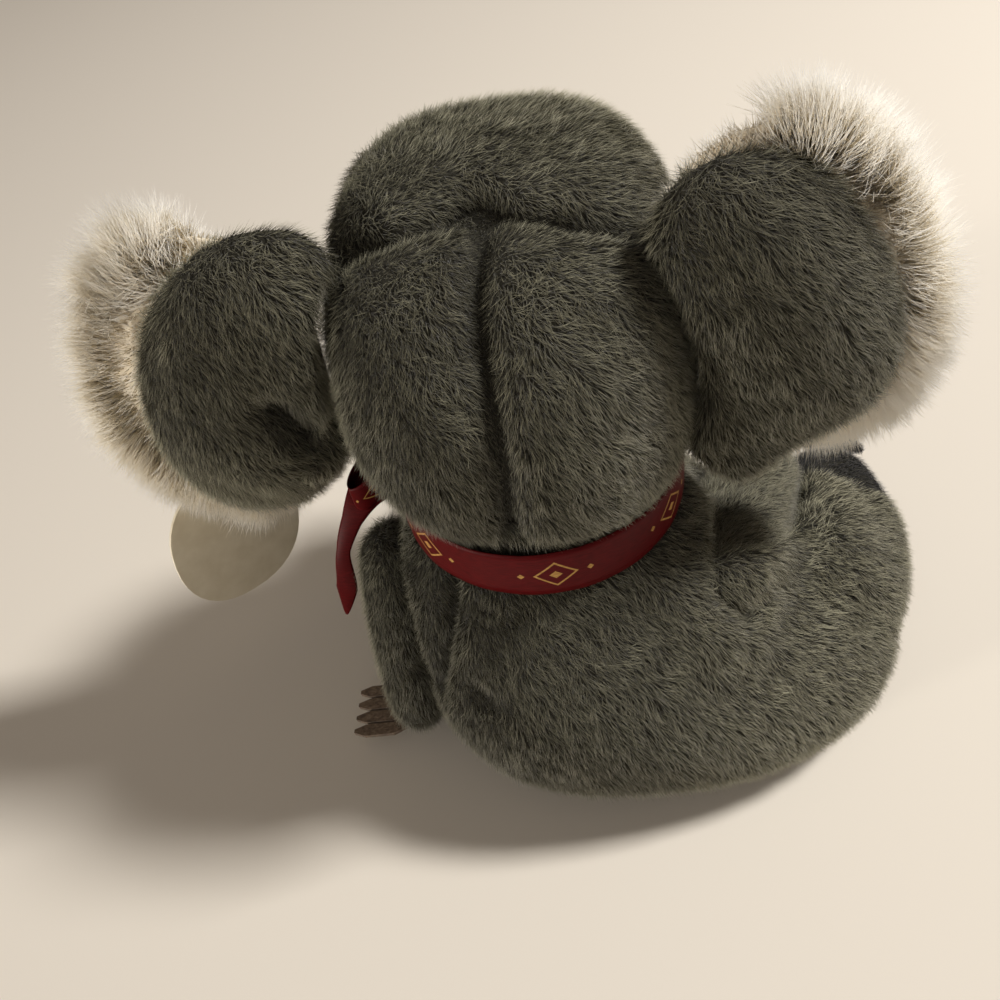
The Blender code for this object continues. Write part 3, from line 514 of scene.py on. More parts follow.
def solid_tree(solid):
    """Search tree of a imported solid, given by its node, or of a skin."""
    mesh = (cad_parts[solid] if isinstance(solid, str) else solid).data
    return BVHTree.FromPolygons([v.co for v in mesh.vertices], [p.vertices for p in mesh.polygons])


def depth_in(co, solid):
    """How deep each point lies in a solid or skin, in metres, and minus outside it."""
    tree = solid_tree(solid)
    low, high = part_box(solid) if isinstance(solid, str) else (points_of(solid.data).min(0),
                                                              points_of(solid.data).max(0))
    depth = np.full(len(co), -SEARCH_REACH)
    for i, point in enumerate(co):
        if any(point[k] < low[k] - SEARCH_REACH or point[k] > high[k] + SEARCH_REACH for k in range(3)):
            continue
        far = tree.find_nearest(Vector(point))[3]
        inside = False
        hit = tree.ray_cast(Vector(point), SLANT)[0]
        while hit is not None:
            inside = not inside
            hit = tree.ray_cast(hit + SLANT * WELD, SLANT)[0]
        depth[i] = far if inside else -far
    return depth


# %% Grooming a skin
def groom(skin, comb, trim=1.0, cover=1.0, shade=0.45, under=()):
    """Writes on the skin how its pile lies, and bares it under the given solids or skins."""
    co, count = points_of(skin.data), len(skin.data.vertices)
    cover = np.ones(count) * cover
    for solid, deep in under:
        cover *= depth_in(co, solid) < deep
    direction = np.broadcast_to(np.asarray(comb, float), (count, 3))
    values = {"trim": np.ones(count) * trim, "cover": cover, "shade": np.ones(count) * shade}
    for name, value in values.items():
        layer = skin.data.attributes.new(name, 'FLOAT', 'POINT')
        layer.data.foreach_set("value", value.astype(np.float32))
    layer = skin.data.attributes.new("comb", 'FLOAT_VECTOR', 'POINT')
    layer.data.foreach_set("vector", direction.astype(np.float32).ravel())


def ungroomed(skin):
    """Takes the grooming off again, so that the skin can carry a second pile."""
    for name in ("comb", "trim", "cover", "shade"):
        skin.data.attributes.remove(skin.data.attributes[name])


def covered_area(mesh):
    """Area of the skin in square metres, counted as thick as its pile stands."""
    cover = np.empty(len(mesh.vertices), np.float32)
    mesh.attributes["cover"].data.foreach_get("value", cover)
    return sum(p.area * float(np.mean(cover[list(p.vertices)])) for p in mesh.polygons)


# %% [markdown]
# A piece of pile is planted from a count of strands, so that its weight is
# known before it is made. The tips that would go through the floor are bent
# up, as they are under a toy.

# %% Planting a groomed skin
FLOOR_GAP = 0.15 * MM
FLOOR_GIVE = 0.12
strand_totals = {}


def bent_up_at_floor(mesh):
    """Presses the tips that would reach through the floor flat on it."""
    co = points_of(mesh)
    low = co[:, 2] < FLOOR_GAP
    co[low, 2] = FLOOR_GAP + (FLOOR_GAP - co[low, 2]) * FLOOR_GIVE
    move_points(mesh, co)


def plant(skin, name, body, count, pattern, length, width, slot, lay=0.92, tuft=0.5, tuft_size=8.0 * MM,
          stray=0.33, tone_spread=0.3, seed=1, parts=1):
    """Pile of about this many strands on a skin, as pieces of equal share."""
    density = count / covered_area(skin.data) / parts
    values = {"Strand": pattern, "Density": density, "Length": length, "Lay": lay, "Width": width,
              "Tuft": tuft, "Tuft Size": tuft_size, "Stray": stray, "Tone Spread": tone_spread}
    names = [name] if parts == 1 else [f"{name}_{part + 1}" for part in range(parts)]
    for part, own_name in enumerate(names):
        grown = piece_from(skin.data.copy(), own_name)
        fur = grown.modifiers.new("pile", 'NODES')
        fur.node_group = planting
        for key, value in (values | {"Seed": seed * 10 + part}).items():
            fur[planting_inputs[key]] = value
        settled(grown)
        bent_up_at_floor(grown.data)
        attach(grown, body)
        strand_totals[own_name] = len(grown.data.polygons)
    print(name, "triangles", sum(strand_totals[own_name] for own_name in names), "in", parts, "pieces")


# %% [markdown]
# ## Seams
# A seam pulls the cloth in along a line. The line is a few places given on the
# solid, more are added between them, and all are dropped on to the skin. Points
# of the skin then sink or rise by how near the line they lie.

# %% Lines on a skin
PLACES_BETWEEN = 6


def near_line(co, line):
    """How far each point is from a line, and there the nearest place, its way and its share of the line."""
    line = np.asarray(line, float)
    far, share = np.full(len(co), np.inf), np.zeros(len(co))
    nearest, along = np.zeros((len(co), 3)), np.zeros((len(co), 3))
    for k in range(len(line) - 1):
        run = line[k + 1] - line[k]
        t = np.clip((co - line[k]) @ run / (run @ run), 0.0, 1.0)
        place = line[k] + t[:, None] * run
        here = np.linalg.norm(co - place, axis=1)
        closer = here < far
        far[closer], nearest[closer] = here[closer], place[closer]
        along[closer] = run / np.linalg.norm(run)
        share[closer] = (k + t[closer]) / (len(line) - 1)
    return far, nearest, along, share


def on_skin(skin, line):
    """The line with places added between its own, all drawn on to the skin."""
    tree = solid_tree(skin)
    line = [Vector(place) for place in line]
    places = [a.lerp(b, k / PLACES_BETWEEN) for a, b in zip(line, line[1:]) for k in range(PLACES_BETWEEN)]
    return [tree.find_nearest(place)[0] for place in places + [line[-1]]]


def sink_seam(skin, line, *valleys):
    """Presses valleys, each of a depth and a width, into the skin along a line. A minus depth raises it."""
    co = points_of(skin.data)
    far = near_line(co, on_skin(skin, line))[0]
    pull = sum(depth * bell(far, width) for depth, width in valleys)
    move_points(skin.data, co - normals_of(skin.data) * pull[:, None])
    return far


# %% [markdown]
# ## Torso
# The torso is the largest bag: a broad seat and a narrow neck, with the legs
# sewn to it. Their filling runs together on the right, so torso and legs get
# one skin here, drawn round all three solids, and the haunch swells out of it
# without a crease. At the right shoulder the cloth of the back runs on over
# the arm like a sleeve, so there the skin is laid over the arm's solid.

# %% Folds and sleeves
TOWARDS_BACK = Vector((0.1, 0.55, 0.83))
DROP = 40.0 * MM
SETTLING_ROUNDS = 3


def raise_fold(skin, line, height, gentle, steep):
    """Lifts the skin along a line, gently on its left and steeply on its right, less and less along it."""
    co = points_of(skin.data)
    far, nearest, along, share = near_line(co, on_skin(skin, line))
    width = np.where(co[:, 0] > nearest[:, 0], gentle, steep)
    lift = height * np.cos(share * math.pi / 2.0) ** 1.5 * bell(far, width)
    lift *= np.clip(normals_of(skin.data) @ np.array(TOWARDS_BACK) * 2.0, 0.0, 1.0)
    move_points(skin.data, co + lift[:, None] * np.array(TOWARDS_BACK))


def draped_over(skin, node, clearance, reach, rounds):
    """Lays the skin over the end of a limb, as the shoulder of a sleeve, and lets it fall off softly."""
    tree = solid_tree(node)
    co = points_of(skin.data)
    across = TOWARDS_BACK.normalized()
    raw = np.zeros(len(co))
    for i in np.flatnonzero(reach > 0.0):
        point = Vector(co[i])
        hit = tree.ray_cast(point + across * DROP, -across, DROP)[0]
        if hit is not None:
            raw[i] = ((hit - point).dot(across) + clearance) * reach[i]
    raw = np.maximum(raw, 0.0)
    ends = np.empty(len(skin.data.edges) * 2, np.int64)
    skin.data.edges.foreach_get("vertices", ends)
    first, second = ends[0::2], ends[1::2]
    near = np.bincount(first, minlength=len(co)) + np.bincount(second, minlength=len(co))
    lift = raw.copy()
    for step in range(rounds):
        around = np.bincount(first, lift[second], len(co)) + np.bincount(second, lift[first], len(co))
        around /= near
        lift = np.maximum(around, raw) if step < rounds - SETTLING_ROUNDS else (around + lift) / 2.0
    move_points(skin.data, co + lift[:, None] * np.array(across))
    print(skin.name, "laid over", node, "by up to", round(float(lift.max()) / MM, 1), "mm")


# %% Skin of the torso and the legs
SHOULDER_FILL = [(-0.0440, 0.0050, 0.0790), (-0.0430, 0.0204, 0.0763), (-0.0420, 0.0321, 0.0732),
                 (-0.0491, 0.0386, 0.0640)]
SHOULDER_FOLD = [(-0.0640, 0.0190, 0.0640), (-0.0628, 0.0240, 0.0590), (-0.0609, 0.0320, 0.0573),
                 (-0.0580, 0.0408, 0.0552), (-0.0551, 0.0487, 0.0521)]
LEG_SLOPE = [(-0.1008, -0.0363, 0.0511), (-0.1043, -0.0254, 0.0525), (-0.1076, -0.0189, 0.0507),
             (-0.1098, -0.0097, 0.0477)]
LEFT_CREASE = [(0.0251, 0.0313, 0.0887), (0.0266, 0.0364, 0.0825), (0.0293, 0.0408, 0.0740),
               (0.0325, 0.0442, 0.0637), (0.0365, 0.0456, 0.0504)]
BACK_DENT = [(0.0234, 0.0523, 0.0612), (0.0198, 0.0549, 0.0600), (0.0178, 0.0571, 0.0572)]
SHOULDER_SWELL = (-4.5 * MM, 10.0 * MM)
LEG_VALLEY = (3.5 * MM, 12.0 * MM)
LEFT_VALLEYS = ((1.5 * MM, 8.0 * MM), (4.0 * MM, 3.4 * MM))
DENT_VALLEY = (2.6 * MM, 4.5 * MM)
SLEEVE_FRONT = -14.0 * MM
SLEEVE_FADE = 12.0 * MM
SLEEVE_INSIDE = -36.0 * MM
SLEEVE_LOW = 45.0 * MM
SLEEVE_GAP = 2.0 * MM
SLEEVE_ROUNDS = 24

body_skin = skin_of(("body", "leg_left", "leg_right"), "torso_skin", "torso", GREY_INSET,
                    grain=3.6 * MM, limit=1.0 * MM, ease=9)
sink_seam(body_skin, SHOULDER_FILL, SHOULDER_SWELL)
raise_fold(body_skin, SHOULDER_FOLD, height=7.0 * MM, gentle=14.0 * MM, steep=4.0 * MM)
co = points_of(body_skin.data)
sleeve = rising(co[:, 1], SLEEVE_FRONT, SLEEVE_FADE) * (co[:, 0] < SLEEVE_INSIDE) * (co[:, 2] > SLEEVE_LOW)
draped_over(body_skin, "arm_right", SLEEVE_GAP, sleeve, SLEEVE_ROUNDS)
sink_seam(body_skin, LEG_SLOPE, LEG_VALLEY)
far_crease = sink_seam(body_skin, LEFT_CREASE, *LEFT_VALLEYS)
far_crease = np.minimum(far_crease, sink_seam(body_skin, BACK_DENT, DENT_VALLEY))

# %% [markdown]
# The pile of the back was stroked down and to the right. Painted light makes it
# paler on the side towards the window, and painted shade makes it darker on the
# far side, in the creases, in the dent of the back and under the ear. It lies
# flat under the ribbon, and there is none where the arms and the belly panel sit.
# The toes end in a cap of short black pile, which is planted on the same skin.

# %% Pile of the torso
NECK = 96.5 * MM
RIBBON_LOW = 90.5 * MM
BARE_BELOW = 0.6 * MM
GREY_PLUSH = {"pattern": grey_strand, "length": 5.2 * MM, "width": 0.13 * MM, "slot": "grey_plush"}
BLACK_PLUSH = {"pattern": black_strand, "width": 0.13 * MM, "slot": "black_plush"}
COMBED = (-0.62, 0.15, -0.75)
UNDER_EAR = (-0.0560, -0.0090, 0.0785)
TOE_CAP_REACH = 32.5 * MM
TOE_CAP_FORM = (1.0, 1.0, 1.15)
TORSO_SEWN_ON = (("belly_panel", 1.0 * MM), ("arm_left", 0.6 * MM), ("arm_right", 0.6 * MM),
                 ("toe_pad_left", 1.0 * MM), ("toe_pad_right", 1.0 * MM))


def ear_shadow(co):
    """Painted shadow of the right ear on the pile of the shoulder below it."""
    return 0.25 * bell(np.linalg.norm(co - np.array(UNDER_EAR), axis=1), 16.0 * MM)


co = points_of(body_skin.data)
toe_caps = np.zeros(len(co))
for side in ("left", "right"):
    low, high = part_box("toe_pad_" + side)
    middle = (low + high) / 2.0
    far = np.linalg.norm((co - np.array(middle)) / np.array(TOE_CAP_FORM), axis=1)
    toe_caps = np.maximum(toe_caps, falling(far, TOE_CAP_REACH, 2.0 * MM))
under_ribbon = rising(co[:, 2], RIBBON_LOW - 2.5 * MM, 2.0 * MM)
creased = bell(far_crease, 3.0 * MM)
sunlit = falling(co[:, 0], -25.0 * MM, 50.0 * MM)
shaded = rising(co[:, 0], -5.0 * MM, 50.0 * MM)
# Painted light and shade: paler towards the window, darker away from it, in the creases and dent and under
# the right ear.
groom(body_skin, COMBED, trim=(1.0 - 0.88 * under_ribbon) * (1.0 - 0.5 * creased),
      shade=0.43 + 0.56 * sunlit - 0.36 * shaded - ear_shadow(co) - 0.3 * creased, under=TORSO_SEWN_ON,
      cover=(co[:, 2] > BARE_BELOW) * (co[:, 2] < NECK - 3.5 * MM) * (1.0 - toe_caps))
plant(body_skin, "torso_pile", "torso", 130000, parts=4, **GREY_PLUSH)
ungroomed(body_skin)
groom(body_skin, COMBED, cover=toe_caps * (co[:, 2] > BARE_BELOW), under=TORSO_SEWN_ON)
plant(body_skin, "toe_cap_pile", "torso", 9000, length=3.6 * MM, seed=16, **BLACK_PLUSH)

# %% [markdown]
# The belly panel is a lens of paler cloth let into the front. Each foot has a
# pad of black pile, shorter than that of the cap round it.

# %% Belly panel and toe pads
CREAM_PLUSH = {"pattern": cream_strand, "slot": "cream_plush"}

belly_skin = skin_of("belly_panel", "belly_skin", "torso", GREY_INSET, finish=cream_backing)
groom(belly_skin, (0.0, -0.2, -1.0), shade=0.6, under=(("body", 0.4 * MM), ("leg_left", 2.0 * MM)))
plant(belly_skin, "belly_pile", "torso", 9000, length=6.5 * MM, width=0.17 * MM, seed=2, **CREAM_PLUSH)
for side, seed in (("left", 17), ("right", 18)):
    pad = skin_of("toe_pad_" + side, f"toe_pad_{side}_skin", "torso", 0.6 * MM,
                  grain=2.0 * MM, limit=0.5 * MM, finish=black_backing)
    groom(pad, COMBED, under=(("leg_" + side, 1.0 * MM),))
    plant(pad, f"toe_pad_{side}_pile", "torso", 5000, length=2.6 * MM, lay=0.7, seed=seed, **BLACK_PLUSH)

# %% [markdown]
# ## Head
# The head is sewn from panels that meet in a T: one seam runs up the middle
# of the back and one crosses the crown from ear to ear. Thread pulls both in.
# So the skin is pressed into a broad valley along each, with a narrow crease
# in it. There the pile is short, darkened with painted shade, and runs along the seam.

# %% Head
HEAD_SEAM_WIDTH = 3.2 * MM
COMB_TURN_WIDTH = 6.0 * MM
BACK_SEAM = [(0.0032, 0.0459, 0.1145), (0.0024, 0.0474, 0.1263), (0.0016, 0.0469, 0.1381),
             (0.0015, 0.0444, 0.1499), (0.0024, 0.0383, 0.1618), (0.0038, 0.0260, 0.1736),
             (0.0045, 0.0031, 0.1854)]
CROWN_SEAM = [(-0.0306, 0.0031, 0.1768), (-0.0192, 0.0056, 0.1818), (-0.0074, 0.0036, 0.1848),
              (0.0045, 0.0019, 0.1858), (0.0164, 0.0036, 0.1848), (0.0281, 0.0056, 0.1818),
              (0.0387, 0.0031, 0.1768)]
VALLEY = (2.6 * MM, 10.0 * MM)
CREASE = (3.8 * MM, 3.6 * MM)
HEAD_SEWN_ON = (("ear_back_left", 2.0 * MM), ("ear_back_right", 2.0 * MM), ("ear_front_left", 2.0 * MM),
                ("ear_front_right", 2.0 * MM), ("muzzle", 1.5 * MM), ("nose", 0.5 * MM),
                ("eye_left", 0.3 * MM), ("eye_right", 0.3 * MM))


def combed_along(co, comb, line, width):
    """The comb turned to run beside a seam, instead of over it."""
    far, nearest, along, share = near_line(co, line)
    comb = np.broadcast_to(np.asarray(comb, float), co.shape)
    along = along * np.sign(np.einsum("ij,ij->i", along, comb))[:, None]
    beside = (0.9 * bell(far, width))[:, None]
    return comb * (1.0 - beside) + along * beside


head_skin = skin_of("head", "head_skin", "head", GREY_INSET, grain=3.2 * MM, limit=1.0 * MM)
far_back = sink_seam(head_skin, BACK_SEAM, VALLEY, CREASE)
far_crown = sink_seam(head_skin, CROWN_SEAM, VALLEY, CREASE)
co = points_of(head_skin.data)
at_seam = bell(np.minimum(far_back, far_crown), HEAD_SEAM_WIDTH)
comb = combed_along(co, COMBED, CROWN_SEAM, COMB_TURN_WIDTH)
comb = combed_along(co, comb, BACK_SEAM, COMB_TURN_WIDTH)
# Painted light on the crown and on the side towards the window, painted shade on the other side and in the
# seams.
painted_lighting = 0.12 * rising(co[:, 2], 165.0 * MM, 20.0 * MM) - 5.0 * co[:, 0] / (1.0 + 18.0 * abs(co[:, 0]))
groom(head_skin, comb, trim=1.0 - 0.72 * at_seam, shade=0.44 + painted_lighting - 0.42 * at_seam,
      cover=co[:, 2] > NECK + 1.0 * MM, under=HEAD_SEWN_ON)
plant(head_skin, "head_pile", "head", 92000, seed=3, parts=3, **GREY_PLUSH)

# %% [markdown]
# ## Ears
# Each ear is a puffed pocket of grey plush with a larger panel of long cream
# pile sewn to its front. The left pocket has been pushed in near the head,
# and the right one is fuller at its foot.

# %% Backs of the ears
EAR_SWELL = [(0.0780, 0.0230, 0.1280), (0.0700, 0.0226, 0.1230)]
EAR_DENT = [(0.0616, 0.0232, 0.1425), (0.0587, 0.0221, 0.1364),
            (0.0561, 0.0208, 0.1305), (0.0530, 0.0186, 0.1260)]
EAR_FOOT = [(-0.0430, 0.0060, 0.1230), (-0.0491, 0.0050, 0.1159), (-0.0545, 0.0050, 0.1111)]
EAR_FOOT_MOVE = (0.0010, 0.0055, -0.0080)
SWELL_VALLEY = (-4.0 * MM, 11.0 * MM)
EAR_DENT_VALLEY = (7.0 * MM, 5.0 * MM)
FOOT_VALLEY = (-5.0 * MM, 10.0 * MM)


def make_ear_back(side, seed):
    """Grey pocket of one ear."""
    back = skin_of("ear_back_" + side, f"ear_{side}_back_skin", "head", GREY_INSET)
    in_dent, painted_lighting = 0.0, 0.0
    if side == "left":
        sink_seam(back, EAR_SWELL, SWELL_VALLEY)
        # On the left ear, painted shade in the dent and painted light over the back, stronger low down.
        in_dent = bell(sink_seam(back, EAR_DENT, EAR_DENT_VALLEY), 4.5 * MM)
        painted_lighting = 0.14 + 0.34 * falling(points_of(back.data)[:, 2], 144.0 * MM, 24.0 * MM)
    else:
        sink_seam(back, EAR_FOOT, FOOT_VALLEY)
        co = points_of(back.data)
        near = bell(near_line(co, on_skin(back, EAR_FOOT))[0], 11.0 * MM)
        move_points(back.data, co + near[:, None] * np.array(EAR_FOOT_MOVE))
    groom(back, COMBED, trim=1.0 - 0.5 * in_dent, shade=0.41 + painted_lighting - 0.75 * in_dent,
          under=(("head", 2.0 * MM), ("ear_front_" + side, 1.5 * MM)))
    plant(back, f"ear_{side}_back_pile", "head", 24000, seed=seed, **GREY_PLUSH)


# %% [markdown]
# The long pile stands out round the outer rim as a fringe, so it is planted
# apart: only on the rim, longer, and pointing outwards and a little down.
# Towards the head the grey back hides it.

# %% Fronts of the ears and their fringe
FRINGE = {"pattern": cream_hair, "length": 15.5 * MM, "width": 0.13 * MM, "slot": "cream_plush", "lay": 0.8,
          "tuft": 0.7, "tuft_size": 10.0 * MM, "stray": 0.36, "tone_spread": 0.5}
RIM_START = 0.62
RIM_WIDTH = 0.3


def unit(rows):
    """Ways of length 1."""
    return rows / np.maximum(np.linalg.norm(rows, axis=1, keepdims=True), TINY)


def make_ear_front(side, facing, seed, droop):
    """Cream panel of one ear, with the fringe on its rim."""
    front = skin_of("ear_front_" + side, f"ear_{side}_front_skin", "head", CREAM_INSET,
                    grain=CREAM_GRAIN, limit=CREAM_LIMIT, finish=cream_backing)
    low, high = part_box("ear_front_" + side)
    middle = (np.array(low) + np.array(high)) / 2.0
    half = (np.array(high) - np.array(low)) / 2.0
    away = points_of(front.data) - middle
    away[:, 1] = 0.0
    outward = unit(away)
    out = outward[:, 0] * facing
    rim = rising(np.linalg.norm(away / half, axis=1), RIM_START, RIM_WIDTH)
    inner = np.clip(0.55 - out * 1.6, 0.0, 1.0) * (out < 0.5)
    kept = 1.0 - rising(inner, 0.55, 0.35)
    sewn_on = (("head", -4.0 * MM), ("ear_back_" + side, 1.5 * MM))
    groom(front, outward * 0.9 + np.array((0.0, -0.4, -0.25)), trim=0.55 + 0.5 * rim * kept, shade=0.6,
          under=sewn_on)
    plant(front, f"ear_{side}_front_pile", "head", 12000, length=9.5 * MM, width=0.17 * MM, lay=0.9,
          seed=seed, **CREAM_PLUSH)
    ungroomed(front)
    groom(front, outward * 1.2 + np.array((0.0, 0.1, droop)), trim=0.7 + 0.3 * kept, shade=0.66,
          cover=rim ** 1.5 * kept, under=sewn_on)
    plant(front, f"ear_{side}_fringe", "head", 16000, seed=seed + 1, **FRINGE)


for side, facing, seed, droop in (("left", 1.0, 5, -0.3), ("right", -1.0, 9, -0.1)):
    make_ear_back(side, seed)
    make_ear_front(side, facing, seed + 1, droop)

# %% [markdown]
# ## Arms
# The arms are stuffed tubes that swing at the shoulder. Their pile runs down
# the limb. Where an arm meets the torso it is bare, as cloth in a seam is.

# %% Arms
ARM_TOP = [(0.0551, 0.0056, 0.0766), (0.0489, 0.0027, 0.0767), (0.0469, -0.0004, 0.0735)]
ARM_TOP_VALLEY = (-3.0 * MM, 10.0 * MM)
ARM_INSET = 1.4 * MM


def make_arm(side, comb, shade, seed):
    """One arm, which swings with its suede hand."""
    node = "arm_" + side
    skin = skin_of(node, node + "_skin", node, ARM_INSET)
    if side == "left":
        sink_seam(skin, ARM_TOP, ARM_TOP_VALLEY)
    groom(skin, comb, shade=shade - ear_shadow(points_of(skin.data)),
          under=(("body", 1.0 * MM), (body_skin, 1.0 * MM), ("claws_" + side, 0.2 * MM)))
    plant(skin, node + "_pile", node, 18000, seed=seed, **GREY_PLUSH)


# The left arm's pile is set darker as painted shade and the right one's paler as painted light; the right
# ear's painted shadow falls on the shoulder.
make_arm("left", (-0.3, 0.3, -0.9), 0.28, 13)
make_arm("right", (-0.6, -0.1, -0.6), 0.55, 14)

# %% [markdown]
# ## Face
# The muzzle is a small stuffed pad of short cream pile, and the mouth is a
# row of thread stitches in it. The photograph shows the toy from behind, so
# this face is a plain one. The mouth's line is found by rays that meet the
# muzzle's skin, and the pile is parted along it.

# %% Muzzle and the line of its mouth
MOUTH_DROP = 5.0 * MM
MOUTH_HALF = 11.0 * MM
MOUTH_SAG = 3.0 * MM
MOUTH_PARTING = 0.9 * MM
MOUTH_ARC = math.pi * 0.75

muzzle_skin = skin_of("muzzle", "muzzle_skin", "head", CREAM_INSET, grain=CREAM_GRAIN,
                      limit=CREAM_LIMIT, finish=cream_backing)
nose_low, nose_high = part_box("nose")
muzzle_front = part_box("muzzle")[0].y
muzzle_tree = solid_tree(muzzle_skin)


def on_muzzle(x, z):
    """Point of the muzzle's skin straight behind a place in front of it."""
    hit = muzzle_tree.ray_cast(Vector((x, muzzle_front - 10.0 * MM, z)), Vector((0.0, 1.0, 0.0)))[0]
    return hit if hit else Vector((x, muzzle_front, z))


mouth_top = nose_low.z - 0.5 * MM
mouth_bend = mouth_top - MOUTH_DROP
mouth_paths = [[on_muzzle(0.0, mouth_top - MOUTH_DROP * k / 4) for k in range(5)]]
for facing in (-1.0, 1.0):
    mouth_paths.append([])
    for k in range(7):
        sag = MOUTH_SAG * math.sin(MOUTH_ARC * k / 6)
        mouth_paths[-1].append(on_muzzle(facing * MOUTH_HALF * k / 6, mouth_bend - sag))
far_mouth = np.min([near_line(points_of(muzzle_skin.data), path)[0] for path in mouth_paths], axis=0)
groom(muzzle_skin, (0.0, 0.9, -0.5), shade=0.55, trim=1.0 - 0.75 * bell(far_mouth, 2.0 * MM),
      cover=far_mouth > MOUTH_PARTING, under=(("head", 1.0 * MM), ("nose", 0.8 * MM)))
plant(muzzle_skin, "muzzle_pile", "head", 9000, length=4.0 * MM, width=0.14 * MM, seed=20, **CREAM_PLUSH)

# %% [markdown]
# The nose is a pad of black leather with two dimples. A round form pressed in
# at two places and fitted to the solid's box makes it. Each stitch of the
# mouth is a small plump bar, as thread in a tight seam is.

# %% Leather and thread
nose_leather, tree, shader = finish_of("nose_leather", (0.010, 0.010, 0.012), 0.38)
painted(tree, shader, mottle(tree, 260.0), [(0.3, (0.007, 0.007, 0.009)), (0.7, (0.018, 0.018, 0.021))])
bump(tree, shader, mottle(tree, 1400.0, 3.0), 0.15 * MM, 0.5)
black_thread, tree, shader = finish_of("black_thread", (0.010, 0.009, 0.009), 0.6, sheen=0.3)
painted(tree, shader, mottle(tree, 3000.0), [(0.3, (0.005, 0.005, 0.005)), (0.7, (0.022, 0.020, 0.019))])


# %% Mouth stitches
THREAD = 0.55 * MM
STITCH_OVERLAP = 1.12
STITCHES_AHEAD = Vector((0.0, -0.9 * MM, 0.0))


def stitch(bm, first, second):
    """Small plump bar of thread between two points."""
    made = bmesh.ops.create_uvsphere(bm, u_segments=8, v_segments=6, radius=0.5)["verts"]
    run = second - first
    turn = run.to_track_quat('Z', 'Y').to_matrix().to_4x4()
    size = Matrix.Diagonal((THREAD, THREAD, run.length * STITCH_OVERLAP, 1.0))
    bmesh.ops.transform(bm, matrix=Matrix.Translation((first + second) / 2.0) @ turn @ size, verts=made)


def piece_of(bm, name, finish):
    """The object of a finished bmesh, with its faces out."""
    bmesh.ops.recalc_face_normals(bm, faces=bm.faces[:])
    mesh = bpy.data.meshes.new(name)
    bm.to_mesh(mesh)
    bm.free()
    mesh.shade_smooth()
    mesh.materials.append(finish)
    return piece_from(mesh, name)


bm = bmesh.new()
for path in mouth_paths:
    for first, second in zip(path, path[1:]):
        stitch(bm, first + STITCHES_AHEAD, second + STITCHES_AHEAD)
mouth = piece_of(bm, "mouth_stitches", black_thread)
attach(mouth, "head")
print("stitches", sum(len(path) - 1 for path in mouth_paths))

# %% Nose
PIT_ASIDE = 0.38
PIT_BELOW = 0.28
PIT_SPREAD = 0.035
PIT_DEPTH = 0.22

bm = bmesh.new()
bmesh.ops.create_uvsphere(bm, u_segments=40, v_segments=24, radius=1.0)
for vert in bm.verts:
    pit = sum(math.exp(-((vert.co.x - at) ** 2 + (vert.co.z + PIT_BELOW) ** 2) / PIT_SPREAD)
              for at in (-PIT_ASIDE, PIT_ASIDE))
    if vert.co.y < 0.0:
        vert.co -= vert.co.normalized() * PIT_DEPTH * pit
bmesh.ops.scale(bm, verts=bm.verts[:], vec=(nose_high - nose_low) / 2.0)
bmesh.ops.translate(bm, verts=bm.verts[:], vec=(nose_high + nose_low) / 2.0 + Vector((0.0, 1.0 * MM, 0.0)))
nose = piece_of(bm, "nose_pad", nose_leather)
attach(nose, "head")
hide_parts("nose")
print("nose", [round(size / MM, 1) for size in nose_high - nose_low], "mm")

# %% [markdown]
# The eyes are glossy domes with a brown ring round a dark middle. The ring is
# a colour ramp over the distance from the middle, seen the way that the eye
# looks, so a Mapping node turns the object's coordinates that way first.

# %% Eyes
EYE_RADIUS = 5.2 * MM
EYE_DEPTH = 4.2 * MM
EYE_SET_BACK = Vector((0.0, 1.2 * MM, 0.0))
EYE_SWIVEL = math.radians(28.0)
EYE_RINGS = [(0.0, (0.003, 0.002, 0.002)), (0.46, (0.003, 0.002, 0.002)), (0.52, (0.075, 0.030, 0.010)),
             (0.78, (0.040, 0.016, 0.006)), (0.88, (0.004, 0.002, 0.002)), (1.0, (0.004, 0.002, 0.002))]


def eye_finish(name, centre, swivel):
    """Dark middle, brown ring and dark rim, round the way that the eye looks."""
    made, tree, shader = finish_of(name, (0.020, 0.010, 0.005), 0.06, gloss=0.6, coat=1.0)
    place = node_of(tree, "ShaderNodeTexCoord").outputs["Object"]
    turned = node_of(tree, "ShaderNodeMapping", {
        "Vector": place, "Rotation": (0.0, 0.0, -swivel),
        "Location": tuple(-(Matrix.Rotation(-swivel, 3, 'Z') @ centre))}).outputs["Vector"]
    flat = vectors(tree, 'MULTIPLY', turned, (1.0 / EYE_RADIUS, 0.0, 1.0 / EYE_RADIUS))
    painted(tree, shader, vectors(tree, 'LENGTH', flat), EYE_RINGS)
    return made


for side, facing in (("left", 1.0), ("right", -1.0)):
    low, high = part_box("eye_" + side)
    centre = (low + high) / 2.0 + EYE_SET_BACK
    swivel = EYE_SWIVEL * facing
    bm = bmesh.new()
    bmesh.ops.create_uvsphere(bm, u_segments=36, v_segments=24, radius=1.0)
    bmesh.ops.scale(bm, verts=bm.verts[:], vec=(EYE_RADIUS, EYE_DEPTH, EYE_RADIUS))
    bmesh.ops.rotate(bm, verts=bm.verts[:], matrix=Matrix.Rotation(swivel, 3, 'Z'))
    bmesh.ops.translate(bm, verts=bm.verts[:], vec=centre)
    eye = piece_of(bm, f"eye_{side}_dome", eye_finish(f"eye_{side}_plastic", centre, swivel))
    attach(eye, "head")
    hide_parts("eye_" + side)
    print(eye.name, "at", [round(c / MM, 1) for c in centre], "mm")

# %% [markdown]
# ## Ribbon
# One length of satin ribbon goes round the neck and is tied in a bow at the
# left of the throat. Satin shines along its threads. A row of small gold
# diamonds is printed on it. The ribbon is thin cloth, so each stretch of it is
# a single sheet that gets its thickness last, and every face carries a map
# that says how far along and how far across the ribbon it lies.

